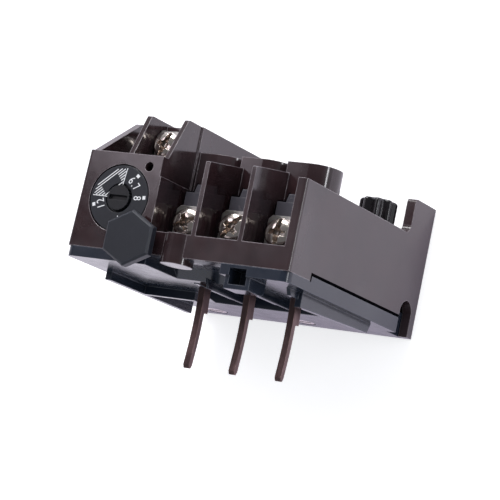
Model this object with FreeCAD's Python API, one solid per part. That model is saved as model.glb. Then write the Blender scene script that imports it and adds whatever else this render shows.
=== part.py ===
import FreeCAD, Part
import math
import os

os.makedirs("parts", exist_ok=True)

# Thermal overload relay, all sizes in millimetres.
# x runs from the left wall to the right wall, y from the lower edge of the
# housing up to the auxiliary terminals, depth from the dial face to the back.
# The stored part stands on its back: +Z comes out of the dial face.

# Housing outline
BODY_WIDTH = 45.0
BODY_DEPTH = 49.6
LEFT_FLARE = 0.6
WALL = 1.5
RIGHT_WALL = 1.8
PARTITION = 1.2
DIAL_BOX_WIDTH = 15.9
DIAL_BOX_TOP = 17.6
FRONT_WALL = 2.6
SIDE_WALL_TOP = 16.3
DECK_TOP = 15.5
EDGE_ROUND = 0.7

# Auxiliary terminal deck on top of the dial box
AUX_TOP = 25.8
AUX_TOP_STEP = 0.5
AUX_FROM_BACK = 11.6
AUX_ROOF = 1.4
LEFT_FIN_RISE = (0.3, 12.9)
MIDDLE_FIN_RISE = (1.2, 5.0)
RIGHT_FIN_RISE = (1.4, 5.8)
LEFT_FIN_THICKNESS = 1.3
MIDDLE_FIN_OFFSET = 0.2
FIN_THICKNESS = 1.0
RIGHT_FIN_THICKNESS = 1.2
FIN_STEP = 0.3
FIN_STEP_DEPTH = 10.5
FIN_STEP_BOTTOM = 14.0
AUX_SCREW_RISE = 3.3
AUX_BAY_BACKS = (17.5, 10.5)

# Poles: bays, barriers and towers
POLE_COUNT = 3
BARRIER_THICKNESS = 0.9
BARRIER_FRONT_TOP = 17.5
BARRIER_REAR_TOP = 19.3
SILL_TOP = 4.2
SILL_THICKNESS = 1.8
BAY_FLOOR_TOP = 3.2
BAY_FLOOR_THICKNESS = 1.5
TOWER_FRONT = 11.3
TOWER_RADIUS = 4.2
TOWER_TOP = 21.3
TOWER_LEFT = 5.0
TOWER_RIGHT = 3.5
TOWER_WEB_DROP = 0.9
TOWER_WEB_BACK = 22.5
SILL_COLUMN_OFFSET = 1.35
SILL_COLUMN_RADIUS = 2.9
SILL_COLUMN_PROUD = 0.95
SILL_COLUMN_DROP = 1.2

# Rear hooks and notches
HOOK_TOP = 22.9
HOOK_LENGTH = 8.6
HOOK_FILLET = 1.6
NOTCH_FROM_BACK = 4.25
NOTCH_RADIUS = 2.4
NOTCH_TOP = 4.5
SIDE_STEP_START = 8.0
SIDE_STEP_HEIGHT = 1.05
PARTING_GAP = 0.15

# Grey base cover
BASE_BOTTOM = -1.9
BASE_RIM_TOP = 2.5
BASE_RIM = 1.0
BASE_CLEARANCE = 0.1
SKIRT_THICKNESS = 1.2
LEFT_SKIRT_DROP = 1.6
LEFT_SKIRT_START = 12.6
LEFT_SKIRT_FROM_BACK = 7.4
RIGHT_SKIRT_DROP = 2.6
RIGHT_SKIRT_START = 9.6
RIGHT_SKIRT_FROM_BACK = 13.0
CROSS_WALL_DEPTH = 24.6
CROSS_WALL_LENGTH = 12.0
SCOOP_SPREAD = 2.7
SCOOP_DEPTH = 8.0
BOSS_WIDTH = 5.0
BOSS_OFFSET = 0.9
BOSS_DROP = 2.3
BOSS_DEPTH = 6.0
BOSS_SLOT_WIDTH = 3.4
BOSS_SLOT_HEIGHT = 2.8
BOSS_SLOT_DEPTH = 4.2

# Contactor prongs
PRONG_DEPTH = 14.6
PRONG_TIP = -17.15
PRONG_THICKNESS = 1.2
PRONG_DEEP = 1.1
PRONG_SHOULDER = -6.8
PRONG_SHOULDER_EXTRA = 1.1
PRONG_BOW = 0.5
PRONG_PASSAGE_CLEARANCE = 0.25

# Main terminals
SCREW_Y = 7.05
SCREW_HEAD_RADIUS = 2.8
SCREW_HEAD_HEIGHT = 2.05
SCREW_HEAD_FRONT = 3.6
SCREW_SHAFT_RADIUS = 1.72
SCREW_HOLE_RADIUS = 1.78
SCREW_SHAFT_END = 10.7
SCREW_SLOT = 0.9
SCREW_SLOT_DEEP = 0.95
WASHER_THICKNESS = 0.9
WASHER_CLIP = 0.7
WASHER_HALF_HEIGHT = 3.3
WASHER_GAP = 0.25
PLATE_FRONT = 6.9
PLATE_THICKNESS = 1.2
PLATE_TOP = 10.4
PLATE_SIDE_GAP = 0.95
BLOCK_SIDE_GAP = 0.65
BLOCK_TOP = 13.3
BLOCK_THICKNESS = 3.1
LUG_WIDTH = 3.0
LUG_THICKNESS = 1.0
LUG_CLEARANCE = 0.1
LUG_TO_PRONG = 0.35
PLATE_SEAT = 0.2

# Auxiliary terminals: each plate stands this far in front of its bay's back
AUX_PLATE_STAND = 2.2
AUX_HEAD_RADIUS = 2.55
AUX_HEAD_HEIGHT = 1.9
AUX_SHAFT_RADIUS = 1.46
AUX_HOLE_RADIUS = 1.52
AUX_WASHER_THICKNESS = 0.8
AUX_WASHER_HALF_HEIGHT = 2.7
AUX_WASHER_GAP = 0.1
AUX_PLATE_THICKNESS = 1.0
AUX_SIDE_GAP = 0.3
AUX_PLATE_FOOT = 0.4
AUX_PLATE_HEIGHT = 6.0
AUX_TAIL_WIDTH = 2.5
AUX_TAIL_DROP = 4.0
AUX_SHAFT_LENGTH = 3.8

# Bimetal strips, mica sleeves and heater windings
STRIP_THICKNESS = 0.5
STRIP_WIDTH = 2.8
STRIP_BOTTOM = 1.6
STRIP_OVER_SLIDER = 0.3
BLADE_TOP = 4.4
SLEEVE_SPAN = (5.6, 14.4)
SLEEVE_GAP = 0.2
SLEEVE_THICKNESS = 0.35
COIL_TURNS = 5
COIL_WIRE = 0.6
COIL_WIDTH = 1.0
COIL_MARGIN = 0.6

# Trip slider
SLIDER_SPAN_Y = (16.0, 18.0)
SLIDER_THICKNESS = 1.7
SLIDER_CLEARANCE = 0.4
SLIDER_REACH = 1.0
SLIDER_HEAD = 2.4
SLIDER_HEAD_BACK = 23.0
FINGER_THICKNESS = 0.9
FINGER_GAP = 0.25
FINGER_OVERLAP = 0.9

# Current dial, its hub and the cam behind the front wall
DIAL_OFFSET = 0.17
DIAL_Y = 9.37
DIAL_RADIUS = 5.9
DIAL_RECESS_RADIUS = 6.15
DIAL_THICKNESS = 1.2
HUB_RADIUS = 2.35
HUB_TEETH = 24
HUB_TOOTH = 0.16
HUB_PROUD = 0.25
HUB_SLOT_WIDTH = 0.9
DIAL_SHAFT_RADIUS = 2.0
RUNNING_CLEARANCE = 0.05
CAM_DEPTHS = (3.2, 4.8)
CAM_RADIUS = 2.6
CAM_RISE = 0.5
CAM_SWEEP = 240.0
CAM_STEPS = 40
INDEX_HOLE_OFFSET = (4.95, 6.1)
INDEX_HOLE_RADIUS = 0.85

# Adjusting lever with the compensation strip
ADJUST_PIVOT = (3.6, 4.5)
PIN_RADIUS = 0.75
PIN_FRONT = 1.6
LEVER_HUB_RADIUS = 1.55
NOSE_RADIUS = 0.6
NOSE_GAP = 0.1
COMPENSATION_DEPTHS = (21.6, 24.0)
COMPENSATION_TOP = 15.8
COMPENSATION_THICKNESS = 0.5
POST_THICKNESS = 0.8
POST_LENGTH = 2.4

# Trip lever and contact arm
TRIP_PIVOT_OFFSET = 0.65
TRIP_PIVOT_Y = 11.0
TRIP_DEPTHS = (20.5, 23.3)
TRIP_TOP = 17.8
TRIP_TAIL_REACH = (-2.8, -1.9)
TRIP_TAIL_SPAN_Y = (5.2, 6.2)
TRIP_PEG_END = 28.6
CONTACT_PIVOT_OFFSET = 0.05
CONTACT_PIVOT_Y = 3.0
CONTACT_DEPTHS = (26.0, 30.0)
CONTACT_TOP = 9.6
CONTACT_THICKNESS = 0.8
PAD_HALF = 1.1
PAD_THICKNESS = 0.6
PAD_Y = 8.3
NC_GAP = 0.1
NO_GAP = 1.25

# Mechanism frame: two cheeks across the dial box
CHEEK_FRONT = (19.0, 20.2)
CHEEK_REAR = (31.0, 32.2)
CHEEK_CLEARANCE = 0.2
CHEEK_TOP = 13.2
BRIDGE_HEIGHT = 1.0
LEAF_SPAN_Y = (12.2, 13.6)
LEAF_THICKNESS = 0.6

# Reset button
BUTTON_FROM_EDGE = 2.3
BUTTON_Y = 1.95
BUTTON_WIDTH = 9.4
BUTTON_HEIGHT = 10.1
BUTTON_FRONT = -3.2
BUTTON_BACK = -1.55
BUTTON_BEVEL = 0.35
BUTTON_TRAVEL = 1.2
STEM_FROM_WALL = 1.7
STEM_Y = 2.4
STEM_WIDTH = 2.8
STEM_HEIGHT = 2.4
STEM_END = 13.0
STEM_CLEARANCE = 0.1
SPIGOT_RADIUS = 0.7
SPRING_RADIUS = 1.05
SPRING_WIRE = 0.3
SPRING_TURNS = 4

# Reset mode knob on the rear deck
KNOB_FROM_RIGHT = 7.0
KNOB_FROM_BACK = 9.6
KNOB_RADIUS = 3.75
KNOB_CORE_RADIUS = 2.95
KNOB_LOBE_RADIUS = 0.95
KNOB_LOBES = 8
KNOB_LIFT = 0.3
KNOB_HEIGHT = 5.9
KNOB_SHAFT_RADIUS = 1.5
KNOB_TAIL = 10.6
KNOB_CAM_RADIUS = 3.4
KNOB_CAM_FLAT = 1.9

# Cover screws, heads sunk in the base: one at the rear left, one at the rear
# middle and one under the right side of the deck
COVER_SCREW_INSET = 5.2
COVER_SCREW_FROM_BACK = 4.4
COVER_SCREW_MIDDLE_FROM_BACK = 20.6
COVER_HEAD_RADIUS = 2.1
COVER_SHAFT_RADIUS = 1.1
COVER_SCREW_TOP = 9.0
COVER_BOSS_HALF = 2.2

# Values worked out from the sizes above
OVERCUT = 0.5
Y_CENTRE = (PRONG_TIP + AUX_TOP) / 2
X_CENTRE = (BODY_WIDTH - LEFT_FLARE) / 2
BAYS_RIGHT = BODY_WIDTH - RIGHT_WALL
BAY_WIDTH = ((BAYS_RIGHT - DIAL_BOX_WIDTH - (POLE_COUNT - 1) * BARRIER_THICKNESS)
             / POLE_COUNT)
POLE_PITCH = BAY_WIDTH + BARRIER_THICKNESS
POLES = [DIAL_BOX_WIDTH + BAY_WIDTH / 2 + POLE_PITCH * i for i in range(POLE_COUNT)]
DIAL_BOX_INNER = DIAL_BOX_WIDTH - PARTITION
MIDDLE_FIN_X = ((LEFT_FIN_THICKNESS + DIAL_BOX_WIDTH - RIGHT_FIN_THICKNESS
                 - FIN_THICKNESS) / 2 - MIDDLE_FIN_OFFSET)
DIAL_X = DIAL_BOX_WIDTH / 2 + DIAL_OFFSET
INDEX_HOLE = (DIAL_X + INDEX_HOLE_OFFSET[0], DIAL_Y + INDEX_HOLE_OFFSET[1])
BUTTON_X = DIAL_BOX_WIDTH - BUTTON_FROM_EDGE
STEM_X = DIAL_BOX_INNER - STEM_FROM_WALL
TRIP_PIVOT = (DIAL_BOX_WIDTH / 2 + TRIP_PIVOT_OFFSET, TRIP_PIVOT_Y)
CONTACT_PIVOT = (DIAL_BOX_WIDTH / 2 + CONTACT_PIVOT_OFFSET, CONTACT_PIVOT_Y)
SLIDER_LEFT = TRIP_PIVOT[0] + SLIDER_REACH
AUX_BAYS = ((LEFT_FIN_THICKNESS, MIDDLE_FIN_X),
            (MIDDLE_FIN_X + FIN_THICKNESS, DIAL_BOX_WIDTH - RIGHT_FIN_THICKNESS))
AUX_TERMINALS = [((x0 + x1) / 2, back - AUX_PLATE_STAND)
                 for (x0, x1), back in zip(AUX_BAYS, AUX_BAY_BACKS)]
AUX_SCREW_Y = DIAL_BOX_TOP + AUX_SCREW_RISE
AUX_BACK = BODY_DEPTH - AUX_FROM_BACK
HOOK_FRONT = BODY_DEPTH - HOOK_LENGTH
NOTCH_CENTRE = BODY_DEPTH - NOTCH_FROM_BACK
SIDE_STEP_END = NOTCH_CENTRE - NOTCH_RADIUS
TOWER_MIDDLE = TOWER_FRONT + TOWER_RADIUS
TOWER_INNER_BACK = TOWER_MIDDLE + TOWER_RADIUS - PARTITION
PLATE_BACK = PLATE_FRONT + PLATE_THICKNESS
PLATE_HALF = BAY_WIDTH / 2 - PLATE_SIDE_GAP
PLATE_BOTTOM = BAY_FLOOR_TOP + PLATE_SEAT
BLOCK_HALF = BAY_WIDTH / 2 - BLOCK_SIDE_GAP
BLOCK_BACK = PLATE_BACK + BLOCK_THICKNESS
WASHER_FRONT = PLATE_FRONT - WASHER_GAP - WASHER_THICKNESS
STRIP_OFFSET = -(PRONG_THICKNESS + STRIP_THICKNESS) / 2
STRIP_DEPTHS = (TOWER_MIDDLE - STRIP_WIDTH / 2, TOWER_MIDDLE + STRIP_WIDTH / 2)
LUG_BACK = min(PRONG_DEPTH - PRONG_DEEP / 2, STRIP_DEPTHS[0]) - LUG_TO_PRONG
SLIDER_FRONT = TOWER_INNER_BACK + SLIDER_CLEARANCE
SLIDER_BACK = SLIDER_FRONT + SLIDER_THICKNESS
CHEEK_X = (WALL + CHEEK_CLEARANCE, DIAL_BOX_INNER - CHEEK_CLEARANCE)
KNOB_X = BODY_WIDTH - KNOB_FROM_RIGHT
KNOB_DEPTH = BODY_DEPTH - KNOB_FROM_BACK
KNOB_BOTTOM = DECK_TOP + KNOB_LIFT
KNOB_TOP = KNOB_BOTTOM + KNOB_HEIGHT
COVER_SCREWS = ((COVER_SCREW_INSET, BODY_DEPTH - COVER_SCREW_FROM_BACK),
                (BODY_WIDTH / 2 + 2.0, BODY_DEPTH - COVER_SCREW_FROM_BACK),
                (BODY_WIDTH - COVER_SCREW_INSET, BODY_DEPTH - COVER_SCREW_MIDDLE_FROM_BACK))


def at(x, y, depth):
    return FreeCAD.Vector(x - X_CENTRE, y - Y_CENTRE, BODY_DEPTH - depth)


def block(x0, x1, y0, y1, front, back):
    return Part.makeBox(x1 - x0, y1 - y0, back - front, at(x0, y0, back))


def polygon(points):
    return Part.Face(Part.makePolygon(points + [points[0]]))


def plate_x(outline, x0, x1):
    """Plate across x from an outline of (y, depth) points."""
    face = polygon([at(x0, y, depth) for y, depth in outline])
    return face.extrude(FreeCAD.Vector(x1 - x0, 0, 0))


def plate_y(outline, y0, y1):
    """Plate across y from an outline of (x, depth) points."""
    face = polygon([at(x, y0, depth) for x, depth in outline])
    return face.extrude(FreeCAD.Vector(0, y1 - y0, 0))


def plate_z(outline, front, back):
    """Plate across the depth from an outline of (x, y) points."""
    face = polygon([at(x, y, back) for x, y in outline])
    return face.extrude(FreeCAD.Vector(0, 0, back - front))


def rod_x(y, depth, radius, x0, x1):
    return Part.makeCylinder(radius, x1 - x0, at(x0, y, depth), FreeCAD.Vector(1, 0, 0))


def rod_y(x, depth, radius, y0, y1):
    return Part.makeCylinder(radius, y1 - y0, at(x, y0, depth), FreeCAD.Vector(0, 1, 0))


def rod_z(x, y, radius, front, back):
    return Part.makeCylinder(radius, back - front, at(x, y, back), FreeCAD.Vector(0, 0, 1))


def fuse(shapes):
    return shapes[0].fuse(shapes[1:]).removeSplitter()


def cut(shape, tools):
    return shape.cut(tools)


def group(shapes):
    return Part.makeCompound(shapes)


def edges_along(shape, direction, spots, reach=0.05):
    """Straight edges in one direction whose middles match a spot.

    A spot is (x, y, depth); None leaves that coordinate free."""
    found = []
    for edge in shape.Edges:
        if len(edge.Vertexes) != 2:
            continue
        ends = [vertex.Point for vertex in edge.Vertexes]
        run = ends[1].sub(ends[0])
        if run.Length < 0.01 or abs(abs(run.dot(direction)) - run.Length) > 0.001:
            continue
        middle = (ends[0] + ends[1]) * 0.5
        for x, y, depth in spots:
            spot = at(x or 0, y or 0, depth or 0)
            near_x = x is None or abs(middle.x - spot.x) < reach
            near_y = y is None or abs(middle.y - spot.y) < reach
            near_z = depth is None or abs(middle.z - spot.z) < reach
            if near_x and near_y and near_z:
                found.append(edge)
                break
    return found


def rounded(shape, radius, direction, spots):
    edges = edges_along(shape, direction, spots)
    return shape.makeFillet(radius, edges) if edges else shape


def front_rim(shape, depth):
    """Edges that lie in the plane at one depth."""
    z = at(0, 0, depth).z
    return [edge for edge in shape.Edges
            if abs(edge.BoundBox.ZMin - z) < 0.01 and abs(edge.BoundBox.ZMax - z) < 0.01]


ALONG_X = FreeCAD.Vector(1, 0, 0)
ALONG_Y = FreeCAD.Vector(0, 1, 0)
ALONG_Z = FreeCAD.Vector(0, 0, 1)


# ---- housing -------------------------------------------------------------

def tower(pole, inset, y0, y1):
    """Tower with a half-round right side; inset shrinks it on every side."""
    radius = TOWER_RADIUS - inset
    middle = pole + TOWER_RIGHT - TOWER_RADIUS
    body = block(pole - TOWER_LEFT + inset, middle, y0, y1,
                 TOWER_MIDDLE - radius, TOWER_MIDDLE + radius)
    return fuse([body, rod_y(middle, TOWER_MIDDLE, radius, y0, y1)])


def fin(x0, x1, rise):
    outline = [(DIAL_BOX_TOP - OVERCUT, rise[0]), (AUX_TOP, rise[1]),
               (AUX_TOP, AUX_BACK), (DIAL_BOX_TOP - OVERCUT, AUX_BACK)]
    body = plate_x(outline, x0, x1)
    ends = [(None, AUX_TOP, rise[1])]
    return rounded(body, 0.6, ALONG_X, ends)


def aux_deck():
    shapes = [fin(0, LEFT_FIN_THICKNESS, LEFT_FIN_RISE),
              fin(MIDDLE_FIN_X, MIDDLE_FIN_X + FIN_THICKNESS, MIDDLE_FIN_RISE),
              fin(DIAL_BOX_WIDTH - RIGHT_FIN_THICKNESS, DIAL_BOX_WIDTH, RIGHT_FIN_RISE)]
    for (x0, x1), back in zip(AUX_BAYS, AUX_BAY_BACKS):
        shapes.append(block(x0 - OVERCUT, x1 + OVERCUT, DIAL_BOX_TOP - OVERCUT,
                            AUX_TOP - AUX_TOP_STEP, back, AUX_BACK))
    return shapes


def barrier(x):
    half = BARRIER_THICKNESS / 2
    outline = [(BAY_FLOOR_TOP - OVERCUT, 0.0), (BARRIER_FRONT_TOP, 0.0),
               (BARRIER_REAR_TOP, TOWER_FRONT + OVERCUT),
               (BAY_FLOOR_TOP - OVERCUT, TOWER_FRONT + OVERCUT)]
    body = plate_x(outline, x - half, x + half)
    return rounded(body, 0.5, ALONG_X, [(None, BARRIER_FRONT_TOP, 0.0)])


def side_wall(x0, x1):
    """Wall with a raised hook at the back and the leg behind the notch."""
    leg = NOTCH_CENTRE + NOTCH_RADIUS
    outline = [(0, 0), (SIDE_WALL_TOP, 0), (SIDE_WALL_TOP, HOOK_FRONT),
               (HOOK_TOP, HOOK_FRONT), (HOOK_TOP, BODY_DEPTH),
               (BASE_BOTTOM, BODY_DEPTH), (BASE_BOTTOM, leg), (0, leg)]
    body = plate_x(outline, x0, x1)
    body = rounded(body, HOOK_FILLET, ALONG_X, [(None, SIDE_WALL_TOP, HOOK_FRONT)])
    return rounded(body, EDGE_ROUND, ALONG_X, [(None, HOOK_TOP, HOOK_FRONT)])


def sill():
    x0 = DIAL_BOX_WIDTH - OVERCUT
    x1 = BAYS_RIGHT + OVERCUT
    wall = block(x0, x1, 0, SILL_TOP, 0, SILL_THICKNESS)
    x = POLES[0] + SILL_COLUMN_OFFSET
    centre = SILL_COLUMN_RADIUS - SILL_COLUMN_PROUD
    foot = rod_y(x, centre, SILL_COLUMN_RADIUS, -SILL_COLUMN_DROP, BAY_FLOOR_TOP)
    column = rod_y(x, centre, SILL_COLUMN_RADIUS, 0, SILL_TOP)
    column = column.common(block(x0, x1, 0, SILL_TOP, -SILL_COLUMN_PROUD - 1,
                                 SILL_THICKNESS))
    floor = block(x0, x1, BAY_FLOOR_TOP - BAY_FLOOR_THICKNESS, BAY_FLOOR_TOP,
                  SILL_THICKNESS - OVERCUT, TOWER_FRONT + OVERCUT)
    return [wall, foot, column, floor]


def tower_block():
    shapes = [tower(pole, 0, 0, TOWER_TOP) for pole in POLES]
    shapes.append(block(DIAL_BOX_WIDTH - OVERCUT, POLES[-1], 0,
                        TOWER_TOP - TOWER_WEB_DROP, TOWER_MIDDLE, TOWER_WEB_BACK))
    return shapes


def rear_case():
    deck = block(DIAL_BOX_WIDTH - OVERCUT, BAYS_RIGHT + OVERCUT,
                 0, DECK_TOP, TOWER_FRONT + PARTITION, BODY_DEPTH)
    hump = block(0, DIAL_BOX_WIDTH, 0, DIAL_BOX_TOP, AUX_BACK - 1, BODY_DEPTH)
    return [deck, hump]


def housing_solid():
    outline = [(-LEFT_FLARE, 0), (DIAL_BOX_WIDTH, 0), (DIAL_BOX_WIDTH, DIAL_BOX_TOP),
               (0, DIAL_BOX_TOP)]
    dial_box = plate_z(outline, 0, BODY_DEPTH)
    corner = [edge for edge in dial_box.Edges
              if edge.BoundBox.XMax < at(WALL, 0, 0).x
              and edge.BoundBox.ZMin > at(0, 0, 0).z - 0.01
              and edge.BoundBox.YLength > DIAL_BOX_TOP / 2]
    dial_box = dial_box.makeFillet(EDGE_ROUND, corner)
    right = side_wall(BAYS_RIGHT, BODY_WIDTH)
    right = rounded(right, EDGE_ROUND, ALONG_Y, [(BODY_WIDTH, None, 0)])
    left = side_wall(0, WALL)
    left = left.common(block(-1, WALL + 1, BASE_BOTTOM - 1, HOOK_TOP + 1,
                             AUX_BACK, BODY_DEPTH + 1))
    shapes = [dial_box, right, left]
    shapes += aux_deck() + tower_block() + rear_case() + sill()
    for i in range(POLE_COUNT - 1):
        shapes.append(barrier((POLES[i] + POLES[i + 1]) / 2))
    return fuse(shapes)


def slider_window():
    """Low and high limits in y and in depth of the slot that the slider runs in."""
    return (SLIDER_SPAN_Y[0] - SLIDER_CLEARANCE, SLIDER_SPAN_Y[1] + SLIDER_CLEARANCE,
            TOWER_INNER_BACK - 0.1, SLIDER_BACK + SLIDER_CLEARANCE)


def cavities():
    roof = DIAL_BOX_TOP - AUX_ROOF
    y0, y1, front, back = slider_window()
    cuts = [block(WALL, DIAL_BOX_INNER, -OVERCUT, roof, FRONT_WALL, BODY_DEPTH - WALL),
            block(WALL, DIAL_BOX_INNER, roof - OVERCUT, AUX_TOP - AUX_TOP_STEP - AUX_ROOF,
                  front, AUX_BACK - WALL),
            block(DIAL_BOX_INNER - OVERCUT, POLES[-1] - PARTITION, y0, y1, front, back),
            block(DIAL_BOX_WIDTH, BAYS_RIGHT, -OVERCUT, DECK_TOP - WALL,
                  TOWER_WEB_BACK, BODY_DEPTH - WALL),
            block(POLES[0] + POLE_PITCH / 2, BAYS_RIGHT, -OVERCUT,
                  BAY_FLOOR_TOP - BAY_FLOOR_THICKNESS, SILL_THICKNESS, TOWER_FRONT)]
    for pole in POLES:
        cuts.append(tower(pole, PARTITION, -OVERCUT, TOWER_TOP - PARTITION))
    return cuts


def front_openings():
    recess = rod_z(DIAL_X, DIAL_Y, DIAL_RECESS_RADIUS, -OVERCUT, DIAL_THICKNESS + 0.15)
    bearing = rod_z(DIAL_X, DIAL_Y, DIAL_SHAFT_RADIUS + RUNNING_CLEARANCE,
                    0, FRONT_WALL + OVERCUT)
    half_w = STEM_WIDTH / 2 + STEM_CLEARANCE
    half_h = STEM_HEIGHT / 2 + STEM_CLEARANCE
    stem = block(STEM_X - half_w, STEM_X + half_w, STEM_Y - half_h, STEM_Y + half_h,
                 -OVERCUT, FRONT_WALL + OVERCUT)
    index = rod_z(INDEX_HOLE[0], INDEX_HOLE[1], INDEX_HOLE_RADIUS,
                  -OVERCUT, FRONT_WALL + OVERCUT)
    fin_step = block(DIAL_BOX_WIDTH - FIN_STEP, DIAL_BOX_WIDTH + 1, FIN_STEP_BOTTOM,
                     AUX_TOP + 1, -1, FIN_STEP_DEPTH)
    return [recess, bearing, stem, index, fin_step]


def side_cuts():
    """Step for the base cover and the open notch at the rear of each side."""
    cuts = []
    for x0, x1 in ((-LEFT_FLARE - 1, WALL), (BAYS_RIGHT, BODY_WIDTH + 1)):
        cuts.append(block(x0, x1, -OVERCUT, SIDE_STEP_HEIGHT, SIDE_STEP_START,
                          SIDE_STEP_END + BASE_CLEARANCE))
        cuts.append(rod_x(NOTCH_TOP - NOTCH_RADIUS, NOTCH_CENTRE, NOTCH_RADIUS, x0, x1))
        cuts.append(block(x0, x1, BASE_BOTTOM - 1, NOTCH_TOP - NOTCH_RADIUS,
                          NOTCH_CENTRE - NOTCH_RADIUS, NOTCH_CENTRE + NOTCH_RADIUS))
    return cuts


def lug_slot(pole):
    """Passage in the tower's front wall for the lug of the terminal plate."""
    half = LUG_WIDTH / 2 + LUG_CLEARANCE
    return block(pole - half, pole + half, BAY_FLOOR_TOP,
                 PLATE_BOTTOM + LUG_THICKNESS + LUG_CLEARANCE,
                 TOWER_FRONT - OVERCUT, LUG_BACK + LUG_CLEARANCE)


def prong_room(pole):
    """Space for the prong's top, inside the tower at the usual PRONG_DEPTH."""
    wide = PRONG_THICKNESS / 2 + PRONG_PASSAGE_CLEARANCE
    front = PRONG_DEPTH - PRONG_DEEP / 2 - PRONG_PASSAGE_CLEARANCE
    return block(pole - wide, pole + wide, 0, BLADE_TOP + PRONG_PASSAGE_CLEARANCE,
                 front, TOWER_FRONT + TOWER_RADIUS)


def terminal_cuts():
    cuts = [lug_slot(pole) for pole in POLES]
    cuts += [prong_room(pole) for pole in POLES]
    for x, plate in AUX_TERMINALS:
        half = AUX_TAIL_WIDTH / 2 + LUG_CLEARANCE
        cuts.append(rod_z(x, AUX_SCREW_Y, AUX_SHAFT_RADIUS + 0.3, plate,
                          plate + AUX_SHAFT_LENGTH + 0.4))
        cuts.append(block(x - half, x + half, DIAL_BOX_TOP - AUX_ROOF - OVERCUT,
                          DIAL_BOX_TOP + AUX_PLATE_FOOT, plate - LUG_CLEARANCE,
                          plate + AUX_PLATE_THICKNESS + LUG_CLEARANCE))
    return cuts


def cover_bosses():
    """Square posts under the roof that the cover screws go into, and their holes."""
    posts = []
    holes = []
    half = COVER_BOSS_HALF
    for x, depth in COVER_SCREWS:
        roof = DIAL_BOX_TOP if x < DIAL_BOX_WIDTH else DECK_TOP
        posts.append(block(x - half, x + half, BASE_RIM_TOP, roof - 1.0,
                           depth - half, depth + half))
        holes.append(rod_y(x, depth, COVER_SHAFT_RADIUS, 0, COVER_SCREW_TOP))
    return posts, holes


def main_housing():
    posts, holes = cover_bosses()
    body = fuse([cut(housing_solid(), cavities())] + posts)
    cuts = front_openings() + side_cuts() + terminal_cuts() + holes
    cuts.append(rod_y(KNOB_X, KNOB_DEPTH, KNOB_SHAFT_RADIUS + RUNNING_CLEARANCE,
                      DECK_TOP - WALL - OVERCUT, DECK_TOP + OVERCUT))
    cuts.append(rod_z(ADJUST_PIVOT[0], ADJUST_PIVOT[1], PIN_RADIUS, PIN_FRONT,
                      FRONT_WALL + 1))
    return cut(body, cuts).removeSplitter()


# ---- base cover ----------------------------------------------------------

def skirt_right():
    x1 = BAYS_RIGHT - 0.1
    low = BASE_BOTTOM - RIGHT_SKIRT_DROP
    back = BODY_DEPTH - RIGHT_SKIRT_FROM_BACK
    outline = [(BASE_BOTTOM + OVERCUT, RIGHT_SKIRT_START), (low, RIGHT_SKIRT_START),
               (low + 0.8, back - 1.0), (BASE_BOTTOM + OVERCUT, back)]
    return plate_x(outline, x1 - SKIRT_THICKNESS, x1)


def skirt_left():
    back = BODY_DEPTH - LEFT_SKIRT_FROM_BACK
    low = BASE_BOTTOM - LEFT_SKIRT_DROP
    long_wall = block(0.5, 0.5 + SKIRT_THICKNESS, low, BASE_BOTTOM + OVERCUT,
                      LEFT_SKIRT_START, back)
    cross_wall = block(0.6, 0.6 + CROSS_WALL_LENGTH, low, BASE_BOTTOM + OVERCUT,
                       CROSS_WALL_DEPTH, CROSS_WALL_DEPTH + SKIRT_THICKNESS)
    return [long_wall, cross_wall]


def base_plate():
    plate = block(-LEFT_FLARE, BODY_WIDTH, BASE_BOTTOM, 0, 0, SIDE_STEP_END)
    plate = rounded(plate, 1.6, ALONG_Y, [(-LEFT_FLARE, None, 0), (BODY_WIDTH, None, 0)])
    rear = block(WALL + BASE_CLEARANCE, BAYS_RIGHT - BASE_CLEARANCE, BASE_BOTTOM, 0,
                 SIDE_STEP_END - 1, BODY_DEPTH)
    shapes = [plate, rear]
    side_top = SIDE_STEP_HEIGHT - PARTING_GAP
    for x0, x1 in ((-LEFT_FLARE, WALL), (BAYS_RIGHT, BODY_WIDTH)):
        shapes.append(block(x0, x1, -OVERCUT, side_top,
                            SIDE_STEP_START + BASE_CLEARANCE, SIDE_STEP_END))
    return shapes


def base_ribs():
    """Ribs that stand inside the housing's walls and hold the cover square."""
    left = WALL + BASE_CLEARANCE
    right = BAYS_RIGHT - BASE_CLEARANCE
    back = BODY_DEPTH - WALL - BASE_CLEARANCE
    low = -OVERCUT
    return [block(left, left + BASE_RIM, low, BASE_RIM_TOP, FRONT_WALL + 2.4, CROSS_WALL_DEPTH),
            block(right - BASE_RIM, right, low, BASE_RIM_TOP, TOWER_WEB_BACK + 7.5, back),
            block(POLES[0], POLES[1], low, BASE_RIM_TOP, back - BASE_RIM, back)]


def contactor_boss():
    x0 = (POLES[1] + POLES[2]) / 2 + BOSS_OFFSET - BOSS_WIDTH / 2
    bottom = BASE_BOTTOM - BOSS_DROP
    body = block(x0, x0 + BOSS_WIDTH, bottom, -0.2, 0.4, BOSS_DEPTH)
    body = rounded(body, 1.2, ALONG_X, [(None, bottom, BOSS_DEPTH)])
    slot_x = x0 + (BOSS_WIDTH - BOSS_SLOT_WIDTH) / 2
    slot_y = bottom + 0.8
    slot = block(slot_x, slot_x + BOSS_SLOT_WIDTH, slot_y, slot_y + BOSS_SLOT_HEIGHT,
                 -OVERCUT, BOSS_SLOT_DEPTH)
    return body, slot


def prong_ridges():
    """Thin ridges on the underside that run back between the prongs."""
    shapes = []
    low = BASE_BOTTOM - 1.2
    end = PRONG_DEPTH + 6.4
    outline = [(BASE_BOTTOM + OVERCUT, BOSS_DEPTH), (low, BOSS_DEPTH + 1),
               (low, end - 1), (BASE_BOTTOM + OVERCUT, end)]
    for pole in POLES:
        shapes.append(plate_x(outline, pole + 2.6, pole + 3.4))
    return shapes


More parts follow.
